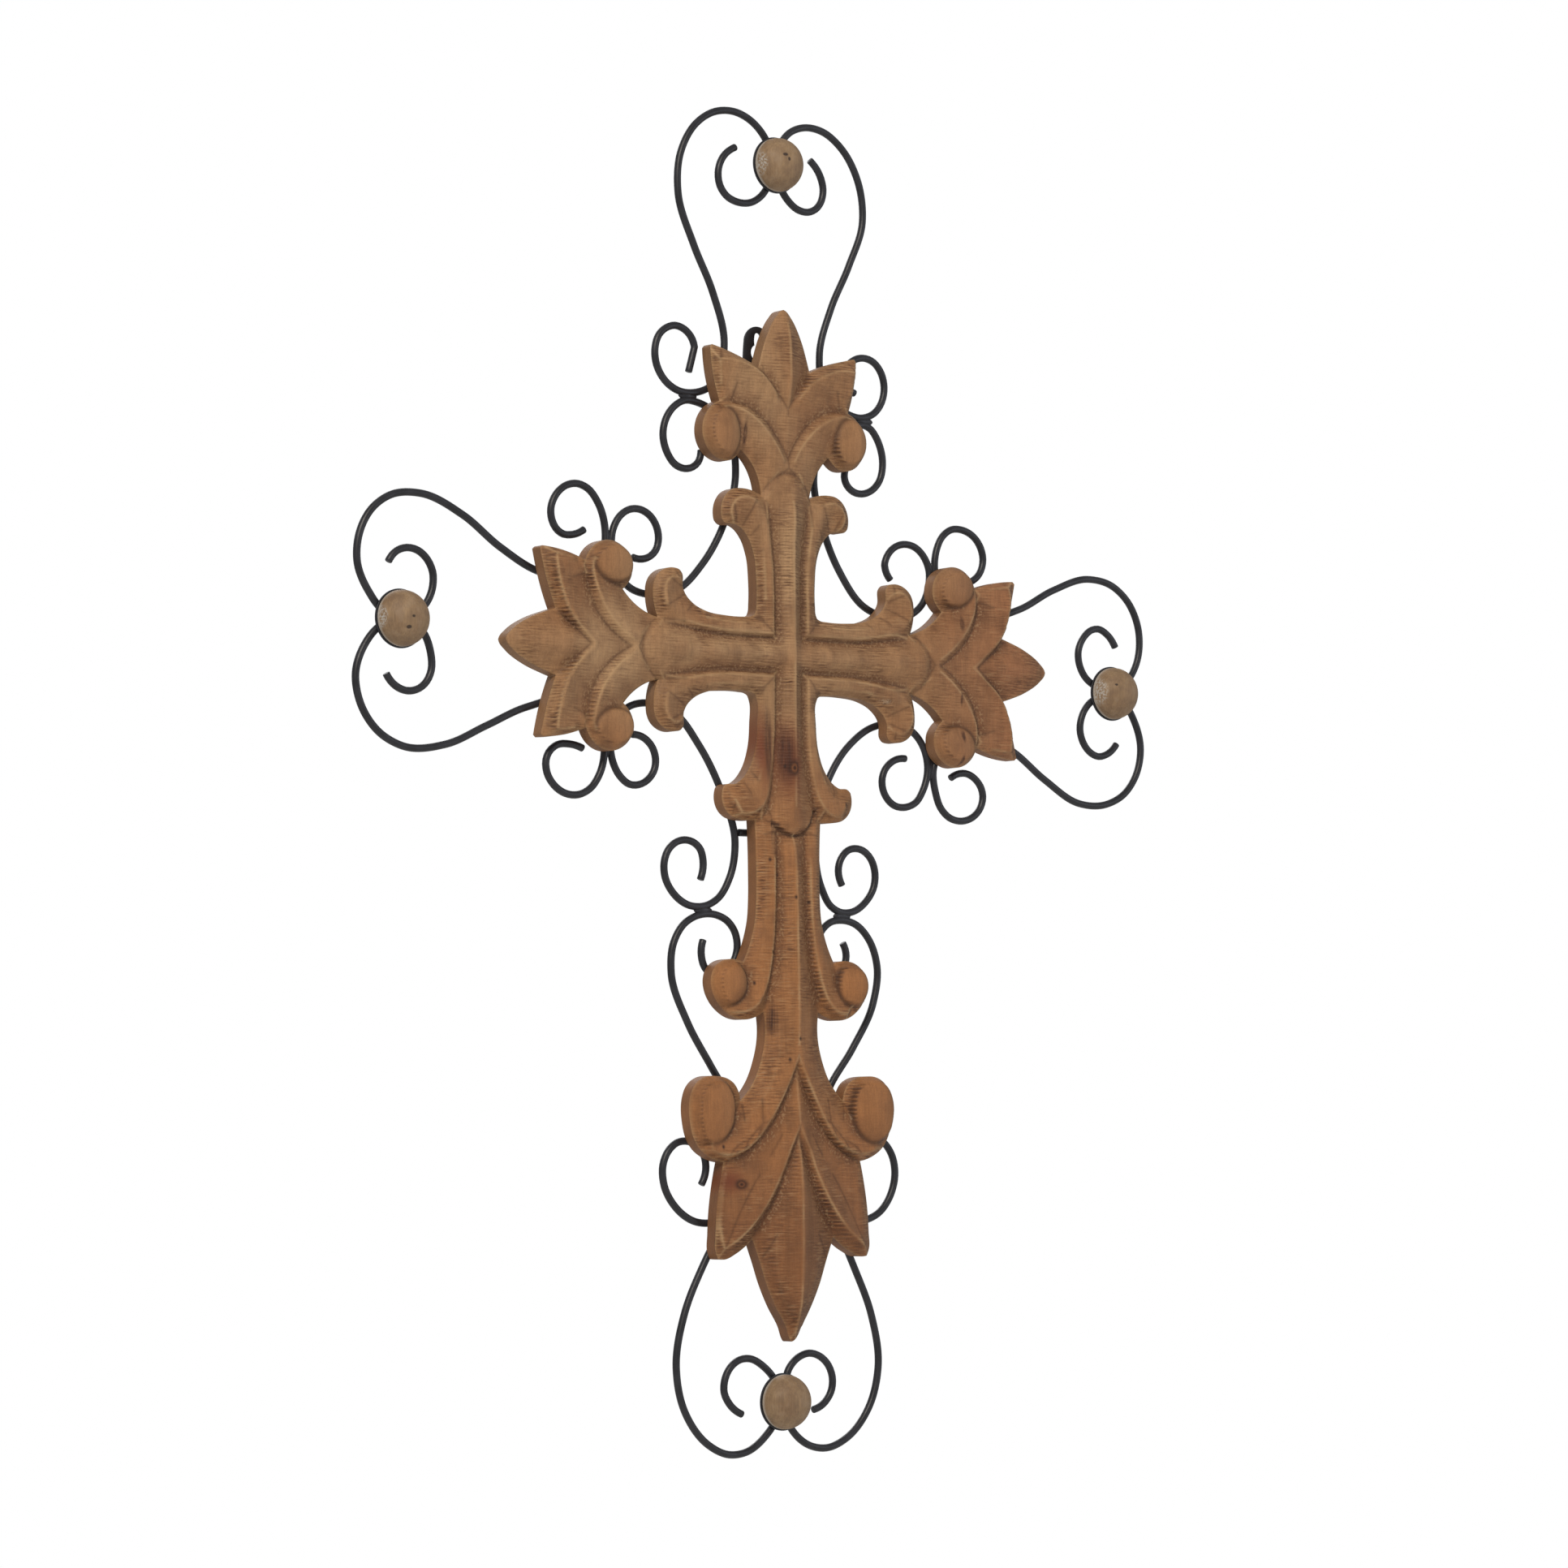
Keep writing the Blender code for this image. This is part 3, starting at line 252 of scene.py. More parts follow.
def carved_wood():
    """Router-carved pine under a rubbed brown stain, with painted shade and highlight: mid brown, dark
    pores, pale edges.
    """
    material, tree, shader, coords = new_finish("stained_carved_pine")
    place = add(tree, "SeparateXYZ", {0: coords}).outputs
    carving, _, _, inner = add(tree, "Attribute", attribute_name="carving").outputs
    groove, edge, steep = add(tree, "SeparateColor", {"Color": carving}).outputs
    bowl = add(tree, "Attribute", attribute_name="bowl").outputs["Fac"]
    side = add(tree, "Attribute", attribute_name="side").outputs["Fac"]
    turned = add(tree, "Attribute", attribute_name="turned").outputs["Fac"]
    facing = add(tree, "TexCoord").outputs["Normal"]
    sideways = add(tree, "SeparateXYZ", {0: facing}).outputs["X"]

    # Streaks along the grain, ragged level dashes, and spots from the size of a hand to that of a pore.
    fine = grain(tree, coords, 1.1, 26.0)
    bands = grain(tree, coords, 7.0, 160.0, detail=2.0)
    ragged = grain(tree, coords, 9.0, 0.85, detail=2.0)
    drift = add(tree, "TexNoise", {"Vector": coords, "Scale": per_mm(95), "Detail": 2.0}).outputs["Fac"]
    patchy = add(tree, "TexNoise", {"Vector": coords, "Scale": per_mm(24), "Detail": 3.0}).outputs["Fac"]
    mottle = add(tree, "TexNoise", {"Vector": coords, "Scale": per_mm(19), "Detail": 4.0}).outputs["Fac"]
    grit = add(tree, "TexNoise", {"Vector": coords, "Scale": per_mm(1.0), "Detail": 2.0}).outputs["Fac"]
    dots = add(tree, "TexNoise", {"Vector": coords, "Scale": per_mm(STIPPLE), "Detail": 1.0}).outputs["Fac"]

    # The stain's colour, ruddy down the shaft, mottled and streaked, with painted highlight and shade over
    # it.
    colour = add(tree, "ValToRGB", {"Fac": drift}, stops=[(0.32, "#ab835c"), (0.5, "#a57a53"),
                                                          (0.68, "#a07048")]).outputs["Color"]
    colour = tint(tree, colour, [(place["Z"], *RUDDY_HEIGHTS), 0.85], "#ab7243")
    colour = tint(tree, colour, [(place["Z"], *DARK_HEIGHTS), 0.8], "#895936")
    colour = tint(tree, colour, [(place["X"], *RUDDY_END), 0.85], "#a06b47")
    # Pale patches: rubbed wood and painted highlight from the light at the upper left.
    for x, z, wide, tall in PALE_AND_HIGHLIT_PATCHES:
        colour = tint(tree, colour, [(spot(tree, coords, x, z, wide, tall), 0.0, 0.6), 0.5], "#c39e74")
    # Painted shade: flanks that face right are darker and greyer.
    colour = tint(tree, colour, [(sideways, 0.1, 0.5), 0.5], "#735c43")
    colour = tint(tree, colour, [(mottle, 0.48, 0.72), 0.5], "#6e492f")
    for pattern, least, span in ((bands, 0.88, 0.22), (fine, 0.88, 0.22), (grit, 0.93, 0.13)):
        shade = add(tree, "MapRange", {"Value": pattern, "From Min": 0.3, "From Max": 0.7, "To Min": least,
                                       "To Max": least + span}).outputs["Result"]
        colour = add(tree, "VectorMath", {0: colour, "Scale": shade}, operation="SCALE").outputs["Vector"]

    # The tool's marks: level passes on slopes, coarse ticks on flanks that face left.
    passes = level_marks(tree, coords, RASTER)
    comb = level_marks(tree, coords, COMB)
    marked = product(tree, [(patchy, 0.4, 0.58, 0.22), (steep, 0.0, 0.35, 0.35), (side, 1.0, 0.0),
                            (turned, 1.0, 0.0, 0.15)])
    flank = product(tree, [(steep, 0.2, 0.5), inner, (side, 1.0, 0.0), (sideways, 0.0, -0.35)])
    colour = tint(tree, colour, [(ragged, 0.48, 0.37), marked, 0.85], "#5a3a25")
    colour = tint(tree, colour, [(passes, 0.5, 0.1), marked, 0.45], "#5f3d26")
    colour = tint(tree, colour, [(ragged, 0.54, 0.68), marked, 0.5], "#c8a277")
    colour = tint(tree, colour, [(comb, 0.6, 0.3), flank, (patchy, 0.35, 0.6, 0.5), 0.8], "#4f3020")

    # Darker in hollows and grooves, as pooled stain and painted shade; pale edges, as bare wood and painted
    # highlight.
    colour = tint(tree, colour, [(bowl, 0.0, 0.8), 0.5], "#6b452b")
    trough = product(tree, [(bowl, 0.3, 0.7), (turned, 1.0, 0.0)])
    colour = tint(tree, colour, [(dots, 0.55, 0.64), trough, 0.35], "#c4a077")
    colour = tint(tree, colour, [(dots, 0.44, 0.37), trough, 0.25], "#553722")
    colour = tint(tree, colour, [groove, (patchy, 0.3, 0.5, 0.7), 0.7], "#442a1a")
    colour = tint(tree, colour, [edge, (patchy, 0.4, 0.6, 0.3), (side, 1.0, 0.0), 0.6], "#cba679")
    # Painted shade: the walls below the arris are darker and duller than the front.
    colour = tint(tree, colour, [side, 0.45], "#765741")

    # Heartwood, resin streaks, knots, a scuff and a painted glint.
    for x, z, wide, tall in RED_PATCHES:
        colour = tint(tree, colour, [spot(tree, coords, x, z, wide, tall), 0.9], "#7a4026")
    for x, z, wide, tall in DARK_STREAKS:
        streak = (spot(tree, coords, x, z, wide, tall), 0.0, 0.7)
        colour = tint(tree, colour, [streak, (fine, 0.65, 0.4, 0.5), 0.9], "#43261a")
    for x, z in PIN_KNOTS:
        colour = tint(tree, colour, [spot(tree, coords, x, z, *PIN_KNOT_SIZE), 0.95], "#321d15")
    for x, z, wide, tall in RING_KNOTS:
        for size, amount, shade in KNOT_RINGS:
            around = (spot(tree, coords, x, z, size * wide, size * tall), 0.0, 0.6)
            colour = tint(tree, colour, [around, amount], shade)
    # The scuff, and the painted glint.
    for x, z, wide, tall in SCUFF_AND_GLINT_SPOTS:
        pale_mark = spot(tree, coords, x, z, wide, tall)
        colour = tint(tree, colour, [pale_mark, (grit, 0.4, 0.6), 0.6], "#c9b193")

    # The same marks as fine relief, each with its depth in millimetres.
    total = 0.0
    for pattern, where, depth in ((ragged, marked, 0.45), (passes, marked, 0.2), (comb, flank, 0.6),
                                  (fine, 1.0, 0.14), (grit, 1.0, 0.12), (dots, trough, 0.3)):
        share = add(tree, "Math", {0: pattern, 1: where}, operation="MULTIPLY").outputs[0]
        total = add(tree, "Math", {0: share, 1: depth, 2: total}, operation="MULTIPLY_ADD").outputs[0]
    bump = add(tree, "Bump", {"Height": total, "Strength": 1.0, "Distance": MM})
    rough = add(tree, "MapRange", {"Value": fine, "To Min": 0.5, "To Max": 0.7}).outputs["Result"]
    tree.links.new(colour, shader.inputs["Base Color"])
    tree.links.new(rough, shader.inputs["Roughness"])
    tree.links.new(bump.outputs["Normal"], shader.inputs["Normal"])
    shader.inputs["Specular IOR Level"].default_value = 0.35
    return material


wood_finish = carved_wood()
print("finish ready:", wood_finish.name, "with", len(wood_finish.node_tree.nodes), "nodes")

# %% [markdown]
# ## Smooth outlines from a faceted solid
#
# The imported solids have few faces, so a round edge there is a chain of short straight runs. The real
# router cut smooth curves. A curve through the chain's corners gives them back: on each run a cubic
# whose slope at both ends is that of the parabola through the neighbouring corners. Where the outline
# really turns, at a leaf's tip or in a notch, the curve is broken, so that corners stay corners.

# %% Curves through corner points
CORNER = math.radians(38)   # a chain that bends more than this at a point has a real corner there


def slopes(points, closed):
    """Slope into and out of each point of a chain; they differ at a real corner."""
    after = np.roll(points, -1, 0) - points
    reach = np.maximum(np.linalg.norm(after, axis=1, keepdims=True), 1e-9)
    run = after / reach
    run_before, reach_before = np.roll(run, 1, 0), np.roll(reach, 1, 0)
    middle = (run_before * reach + run * reach_before) / (reach + reach_before)
    turn = np.arccos(np.clip((run * run_before).sum(1), -1, 1))
    corner = turn > CORNER
    if not closed:
        corner[0] = corner[-1] = True
    leave, arrive = middle.copy(), middle.copy()
    after_corner, before_corner = np.roll(corner, -1), np.roll(corner, 1)
    next_middle, last_middle = np.roll(middle, -1, 0), np.roll(middle, 1, 0)
    out_bend = np.where(after_corner[:, None], run, 2 * run - next_middle)
    in_bend = np.where(before_corner[:, None], run_before, 2 * run_before - last_middle)
    leave[corner] = out_bend[corner]
    arrive[corner] = in_bend[corner]
    return leave, arrive, reach[:, 0]


def smooth_chain(points, step, closed=True):
    """A chain of corner points as a smooth one with a point about every step."""
    points = np.array(points, dtype=float)
    leave, arrive, reach = slopes(points, closed)
    made = []
    for i in range(len(points) if closed else len(points) - 1):
        j = (i + 1) % len(points)
        count = max(1, round(reach[i] / step))
        t = (np.arange(count) / count)[:, None]
        made.append((2 * t**3 - 3 * t**2 + 1) * points[i] + (3 * t**2 - 2 * t**3) * points[j]
                    + reach[i] * ((t**3 - 2 * t**2 + t) * leave[i] + (t**3 - t**2) * arrive[j]))
    if not closed:
        made.append(points[-1:])
    return np.concatenate(made)


def chains_of(edges):
    """Edges of a bmesh as chains of vertices; a closed chain ends where it began."""
    left = dict.fromkeys(edges)
    meetings = {}
    for edge in left:
        for vert in edge.verts:
            meetings[vert] = meetings.get(vert, 0) + 1
    ends = [vert for vert, count in meetings.items() if count != 2]
    chains = []
    for start in ends + list(meetings):
        while any(edge in left for edge in start.link_edges):
            chain = [start]
            while True:
                edge = next((e for e in chain[-1].link_edges if e in left), None)
                if edge is None:
                    break
                del left[edge]
                chain.append(edge.other_vert(chain[-1]))
                if meetings[chain[-1]] != 2:
                    break
            chains.append(chain)
    return chains


# %% [markdown]
# ## The carved board
#
# One board with four leaf-shaped ends: curled leaves that end in balls, and bands along the arms. The
# solid has its ridges, valleys and heights, but as flat triangles. Subdividing it would keep every flat.
# So the front is made again: the smooth outline, the creases and a fine even field of points inside are
# joined into small triangles, each point takes its height from the solid, and the heights are relaxed.
# Sharp creases are held all the time and soft ones only at first, so ridges and valleys stay, and flat
# facets turn into carved swells.

# %% The board's lines and heights
FINE = 1.2 * MM             # side of a triangle of the fine surface
FRONT_TURN = -0.05          # a face whose normal's y is below this belongs to the front
CREST_HALF = 3 * MM         # the side arms' crest runs within this of the level middle line: it is soft
MITRE_REACH = 14 * MM       # the arms meet softly this near the crossing's middle
RIDGE, SWELL = 34, 15       # an edge that bends out by more than this, in degrees
VALLEY, DIP = -24, -11      # an edge that bends in by more than this

board = mesh_of("carved_cross")
board_tree = BVHTree.FromBMesh(board)
front = {face for face in board.faces if face.normal.y < FRONT_TURN}
crossing = on_board(0, 0)


def kind_of(edge):
    """What was left along an edge of the front: a ridge, a valley, a soft swell or dip, or nothing."""
    if not all(face in front for face in edge.link_faces):
        return None
    spots = [vert.co - crossing for vert in edge.verts]
    if all(abs(p.z) < CREST_HALF for p in spots):
        return None
    in_mitre = all(max(abs(p.x), abs(p.z)) < MITRE_REACH for p in spots)
    if in_mitre and any(abs(p.x) > CREST_HALF for p in spots):
        return None
    angle = math.degrees(edge.calc_face_angle_signed(0.0))
    return ("ridge" if angle > RIDGE else "swell" if angle > SWELL else
            "valley" if angle < VALLEY else "dip" if angle < DIP else None)


rim_edges = [edge for edge in board.edges if sum(face in front for face in edge.link_faces) == 1]
rim_chain = max(chains_of(rim_edges), key=len)[:-1]
rim = smooth_chain([vert.co for vert in rim_chain], FINE)
board_back = max(vert.co.y for vert in board.verts)
arris = float(np.median(rim[:, 1]))
lines = {}
for kind in ("ridge", "valley", "swell", "dip"):
    found = chains_of([edge for edge in board.edges if kind_of(edge) == kind])
    lines[kind] = np.concatenate([smooth_chain([v.co for v in chain], FINE, closed=False)
                                  for chain in found if len(chain) > 1])
print("outline points:", len(rim), "and along", {kind: len(points) for kind, points in lines.items()})

# %% Distances and heights over the plan


def tree_of(points):
    """A search tree of points as they lie in the plan, seen straight from the front."""
    tree = KDTree(len(points))
    for index, point in enumerate(points):
        tree.insert((point[0], 0.0, point[2]), index)
    tree.balance()
    return tree


def distances(points, tree):
    """How far each point of the plan is from the nearest one in a tree."""
    return np.array([tree.find((point[0], 0.0, point[2]))[2] for point in points])


# Round ends of the curled leaves: x and z from the crossing's middle and half sizes, in millimetres.
BALLS = [(side * x, z, across, along) for side in (-1, 1) for x, z, across, along in (
    (55.8, 147.3, 14.5, 18), (144.8, 56.5, 17, 14.5), (144.8, -56.5, 17, 14.5), (53.6, -220.6, 14.5, 14.5),
    (69, -305, 18.5, 22))]
FAR = 0.2                   # a ray starts this far in front of the board, in metres


def height_at(x, z):
    """The solid's front surface over a point of the plan, or None beside the board."""
    return board_tree.ray_cast(Vector((x, -FAR, z)), Vector((0, 1, 0)), FAR)[0]


def share_out(points, oval):
    """Distance of points from an oval's middle, as a share of its half sizes: 1 on its edge."""
    x, z, across, along = oval
    centre = on_board(x, z)
    return np.hypot((points[:, 0] - centre.x) / across, (points[:, 2] - centre.z) / along) / MM


rim_tree = tree_of(rim)
print("reach of the outline from the middle:", round(max(abs(rim[:, 0] - crossing.x)) / MM), "mm")

# %% A fine field of points between the lines
CLEARANCE = 0.6 * FINE      # a point of the field keeps this far from every line
BEHIND = 8 * MM             # a hit this far behind the arris isn't on the front
ROW = 0.866                 # rows of even triangles lie this share of a side apart

for kind, points in lines.items():
    off_balls = np.min([share_out(points, ball) for ball in BALLS], axis=0) > 1.0
    lines[kind] = points[(distances(points, rim_tree) > CLEARANCE) & off_balls]
line_tree = tree_of(np.concatenate(list(lines.values())))
low, high = rim.min(0), rim.max(0)
field = []
for row in range(int((high[2] - low[2]) / (FINE * ROW)) + 1):
    z = low[2] + row * FINE * ROW
    for column in range(int((high[0] - low[0]) / FINE) + 1):
        x = low[0] + (column + 0.5 * (row % 2)) * FINE
        hit = height_at(x, z)
        if hit is None or hit.y > arris + BEHIND:
            continue
        if min(rim_tree.find((x, 0, z))[2], line_tree.find((x, 0, z))[2]) > CLEARANCE:
            field.append((x, hit.y, z))
print("points of the field:", len(field))

# %% Joining them into one surface
cloud = np.concatenate([rim, *lines.values(), np.array(field)])
kinds = ["rim"] * len(rim) + [kind for kind, points in lines.items() for _ in points]
kinds += ["field"] * len(field)
border = [(i, (i + 1) % len(rim)) for i in range(len(rim))]
flat = [Vector((x, z)) for x, _, z in cloud]
spots, _, triangles, origins, _, _ = delaunay_2d_cdt(flat, border, [], 1, 1e-7)
surface = np.array([cloud[origin[0]] if origin else (spot.x, arris, spot.y)
                    for spot, origin in zip(spots, origins)])
kind_here = np.array([kinds[min(origin)] if origin else "field" for origin in origins])
triangles = np.array(triangles)
print("fine triangles:", len(triangles))

# %% Relaxing the heights
FIRST_ROUNDS, LAST_ROUNDS = 10, 12

pairs = np.concatenate([triangles[:, [0, 1]], triangles[:, [1, 2]], triangles[:, [2, 0]]])
starts, stops = np.concatenate([pairs, pairs[:, ::-1]]).T
degree = np.maximum(np.bincount(starts, minlength=len(surface)), 1)


def relaxed(values, times, held=None):
    """Each value moves to the mean of its neighbours', the given number of times."""
    values = values.copy()
    for _ in range(times):
        mean = np.bincount(starts, values[stops], len(values)) / degree
        values = mean if held is None else np.where(held, values, mean)
    return values


is_rim = kind_here == "rim"
sharp = is_rim | (kind_here == "ridge") | (kind_here == "valley")
depth = relaxed(surface[:, 1], FIRST_ROUNDS, held=kind_here != "field")
depth = relaxed(depth, LAST_ROUNDS, held=sharp)
print("largest change of height:", round(float(np.abs(depth - surface[:, 1]).max()) / MM, 2), "mm")

# %% [markdown]
# ## Balls, cuts, wear and painted light
#
# The carver rounds the balls last and sets each off with a cut round it. A cut also follows every
# valley, the bands of three arms end in thumbs, and a tongue ends the crossing's band below. All of
# these are real steps of the surface. What the finish needs is then measured on that surface: how deep,
# how steep and how near an edge each spot lies, because stain stays in hollows and is rubbed off edges,
# and painted shade goes into hollows and painted highlight onto edges.

# %% Balls and thumbs
DOME_DROP = 3.6 * MM        # how far a ball's surface falls from its middle to its edge
DOME_REACH, DOME_BLEND = 1.12, 0.16     # where a dome ends and how softly, as shares of a ball's size
TURNED_REACH, TURNED_BLEND = 1.1, 0.1   # the same for its smoother finish
BALL_CUT_AT = 1.05          # the cut round a ball, as a share of its size
BALL_CUT_WIDTH = 1.4        # in millimetres
FADE_IN = 5                 # shapes rise to their full height this far from the outline, in millimetres
THUMBS = [(0, 93, 24, 20), (-89, 0, 20, 26), (89, 0, 20, 26)]    # like the balls: middle and half sizes
THUMB_SWELL = 1.8 * MM


def smooth_step(values):
    """0 below 0, 1 above 1 and a soft climb between them."""
    values = np.clip(values, 0, 1)
    return values * values * (3 - 2 * values)


def beside(distance, width):
    """1 on a line, falling to nothing within about two widths of it."""
    return np.exp(-(distance / width) ** 2)


from_rim = distances(surface, rim_tree) / MM
turned, ball_cut = np.zeros(len(surface)), np.zeros(len(surface))
for ball in BALLS:
    centre = on_board(*ball[:2])
    out = share_out(surface, ball)
    dome = height_at(centre.x, centre.z).y + DOME_DROP * out ** 2
    share = smooth_step((DOME_REACH - out) / DOME_BLEND) * smooth_step(from_rim / FADE_IN)
    depth = depth * (1 - share) + dome * share
    turned = np.maximum(turned, smooth_step((TURNED_REACH - out) / TURNED_BLEND))
    off_cut = (out - BALL_CUT_AT) * min(ball[2:])
    ball_cut += beside(off_cut, BALL_CUT_WIDTH) * smooth_step((from_rim - 2) / 4)
for thumb in THUMBS:
    swell = smooth_step(1.0 - share_out(surface, thumb)) * smooth_step(from_rim / FADE_IN)
    depth = depth - THUMB_SWELL * swell
depth = relaxed(depth, 1, held=is_rim)
print("share of the surface that is turned:", round(float(turned.mean()), 3))

# %% The gouge's marks and cuts
WAVE = 0.22 * MM            # how far the gouge wandered
WAVE_LENGTH = 13 * MM
CUT_DEPTH = 0.35 * MM       # the lines that were cut along valleys, round balls and the tongue
VALLEY_CUT, BALL_CUT, TONGUE_CUT = 0.7, 1.1, 1.4        # shares of that depth
CUT_WIDTH = 0.9             # in millimetres, as all widths and distances in the plan
TONGUE = [(-17, -112), (-10, -117.5), (0, -121.5), (9, -119.5), (16, -113), (20.5, -103)]   # its edge
TONGUE_STEP, TONGUE_FADE = 1.8 * MM, 6 * MM     # the shaft starts this much lower and comes back up


def wander(point, length, seed):
    """Smooth noise over the plan, with swells of a length; the seed picks another one."""
    return noise.noise(Vector((point[0], seed, point[2])) / length)


waves = np.array([wander(p, WAVE_LENGTH, 0.3) + 0.5 * wander(p, WAVE_LENGTH / 3, 0.7) for p in surface])
to_ridge, to_swell, to_valley, to_dip = (distances(surface, tree_of(lines[kind])) / MM
                                         for kind in ("ridge", "swell", "valley", "dip"))
inside = smooth_step(from_rim / 3)      # no cut is made at the outline itself
tongue = smooth_chain([on_board(*point) for point in TONGUE], FINE / 2, closed=False)
below = np.interp(surface[:, 0], tongue[:, 0], tongue[:, 2], left=-1.0, right=-1.0) - surface[:, 2]
depth = depth + np.where(below > 0, TONGUE_STEP * np.exp(-below / TONGUE_FADE), 0.0)
to_tongue = distances(surface, tree_of(tongue)) / MM
cut = np.maximum(VALLEY_CUT * beside(to_valley, CUT_WIDTH), BALL_CUT * np.clip(ball_cut, 0, 1))
cut = np.maximum(cut, TONGUE_CUT * beside(to_tongue, 1.3 * CUT_WIDTH)) * inside
depth = depth + np.where(is_rim, 0.0, WAVE * waves) + CUT_DEPTH * cut
surface[:, 1] = depth
print("deepest cut:", round(float(cut.max()) * CUT_DEPTH / MM, 2), "mm")

# %% Hollows for stain and painted shade, edges for wear and painted highlight, steep flanks
EDGE_WIDTH = 0.8            # how far pale wear and painted highlight reach beside an edge, in millimetres
BOWL_DEPTH = 1.6 * MM       # a trough this much deeper than its wide surroundings is fully dark
LEVEL_TILT, STEEP_TILT = 0.15, 1.25     # rise per run at which a flank starts to count and counts fully
HOLLOW_FROM, HOLLOW_SPAN = 0.1, 0.6     # millimetres below the close surroundings, likewise
NEAR_ROUNDS, WIDE_ROUNDS = 2, 60        # rounds of relaxing that give close and wide surroundings

near, wide = relaxed(depth, NEAR_ROUNDS), relaxed(depth, WIDE_ROUNDS)
sunk = (depth - near) / MM
# Painted shade with pooled stain: dark in small hollows, along the cuts and along the soft dips.
groove = np.clip((sunk - HOLLOW_FROM) / HOLLOW_SPAN, 0, 0.4) * inside
dark_line = np.maximum(np.minimum(cut, 1), 0.65 * beside(to_dip, CUT_WIDTH)) * inside
groove = np.maximum(groove, dark_line)
# Pale edges, worn bare wood and painted highlight: on ridges, softly on swells, and along the outline.
worn_and_highlit = np.maximum(beside(to_ridge, EDGE_WIDTH), 0.15 * beside(to_swell, EDGE_WIDTH))
worn_and_highlit = np.maximum(worn_and_highlit, 0.7 * beside(from_rim, EDGE_WIDTH))
# Painted shade with pooled stain: darker in wide troughs, away from the outline.
bowl = np.clip((depth - wide) / BOWL_DEPTH, 0, 1) * smooth_step((from_rim - 4) / 6)
span = np.abs(depth[stops] - depth[starts])
tilt = relaxed(np.bincount(starts, span, len(depth)) / degree / FINE, 1)
steep = np.clip((tilt - LEVEL_TILT) / (STEEP_TILT - LEVEL_TILT), 0, 1)
inner = smooth_step((from_rim - 2.5) / 3)
print("mean groove, edge and steepness:", [round(float(v.mean()), 3) for v in (groove, worn_and_highlit, steep)])

# %% The board's walls and back
WALL_STEPS = (0.5, 2.5, 5.0)                # rings below the arris, in millimetres


def carved_board():
    """The fine front with its measures as attributes, walls in rings below the arris and a flat back."""
    mesh = bpy.data.meshes.new("front")
    mesh.from_pydata([Vector(p) for p in surface], [], triangles.tolist())
    bm = bmesh.new()
    bm.from_mesh(mesh)
    bpy.data.meshes.remove(mesh)
    paint = bm.verts.layers.float_color.new("carving")
    bowls = bm.verts.layers.float.new("bowl")
    sides = bm.verts.layers.float.new("side")
    balls = bm.verts.layers.float.new("turned")
    for vert in bm.verts:
        i = vert.index
        vert[paint] = (groove[i], worn_and_highlit[i], steep[i], inner[i])
        vert[bowls], vert[balls] = bowl[i], turned[i]
    bmesh.ops.delete(bm, geom=[v for v in bm.verts if not v.link_faces], context="VERTS")
    ring = [edge for edge in bm.edges if edge.is_boundary]
    for step in (*WALL_STEPS, None):
        made = bmesh.ops.extrude_edge_only(bm, edges=ring)["geom"]
        ring = [item for item in made if isinstance(item, bmesh.types.BMEdge) and item.is_boundary]
        for vert in {vert for edge in ring for vert in edge.verts}:
            vert.co.y = board_back if step is None else min(arris + step * MM, board_back)
            vert[sides] = 1.0
            vert[paint] = (0.0, 0.0, 0.0, 1.0)
    made = bmesh.ops.triangle_fill(bm, edges=ring, use_beauty=True)["geom"]
    back = [item for item in made if isinstance(item, bmesh.types.BMFace)]
    bmesh.ops.recalc_face_normals(bm, faces=bm.faces)
    for edge in ring:
        edge.smooth = False
    print("faces of the back:", len(back))
    finish_piece(bm, "board_carved", wood_finish, "carved_cross")


carved_board()
print("board between depths", [round(v / MM, 1) for v in (surface[:, 1].min(), board_back)], "mm")

# %% [markdown]
# ## Bent steel rod
#
# The hearts and scrolls are cold-bent round rod, cut flat at the ends and painted satin black. A curve
# with a round bevel would do, but each rod lies in one plane, so a circle that is extruded along the
# line and turned a little at every step gives the same tube with even rings. The line comes from the
# solid: its rings of vertices are found one after the other from the end cap, and their centres joined.

# %% Paint on steel


def painted_steel():
    """Satin black paint on cold-bent rod: charcoal, thinly brushed, so it shines in soft streaks."""
    material, tree, shader, coords = new_finish("satin_black_paint_on_steel")
    patches = add(tree, "TexNoise", {"Vector": coords, "Scale": per_mm(9), "Detail": 4.0}).outputs["Fac"]
    grit = add(tree, "TexNoise", {"Vector": coords, "Scale": per_mm(1.1), "Detail": 3.0}).outputs["Fac"]
    colour = add(tree, "ValToRGB", {"Fac": patches}, stops=[(0.35, "#1e1e22"), (0.65, "#2b2b30")])
    rough = add(tree, "MapRange", {"Value": grit, "To Min": 0.3, "To Max": 0.5})
    bump = add(tree, "Bump", {"Height": grit, "Strength": 0.35, "Distance": 0.12 * MM})
    tree.links.new(colour.outputs["Color"], shader.inputs["Base Color"])
    tree.links.new(rough.outputs["Result"], shader.inputs["Roughness"])
    tree.links.new(bump.outputs["Normal"], shader.inputs["Normal"])
    return material


steel_finish = painted_steel()
print("finish ready:", steel_finish.name)

# %% The rods' centre lines
CAP_ANGLE = math.radians(75)    # side faces meet at 60 degrees or less, a cap at 90


def centre_line(bm):
    """Centres of a bent rod's rings of vertices, from one end cap to the other."""
    cap_edges = [edge for edge in bm.edges if edge.calc_face_angle(0.0) > CAP_ANGLE]
    ring = {vert: None for vert in chains_of(cap_edges)[0]}
    seen = dict(ring)
    centres = []
    while ring:
        centres.append(sum((vert.co for vert in ring), Vector()) / len(ring))
        beyond = [edge.other_vert(vert) for vert in ring for edge in vert.link_edges]
        ring = {vert: None for vert in beyond if vert not in seen}
        seen.update(ring)
    return centres


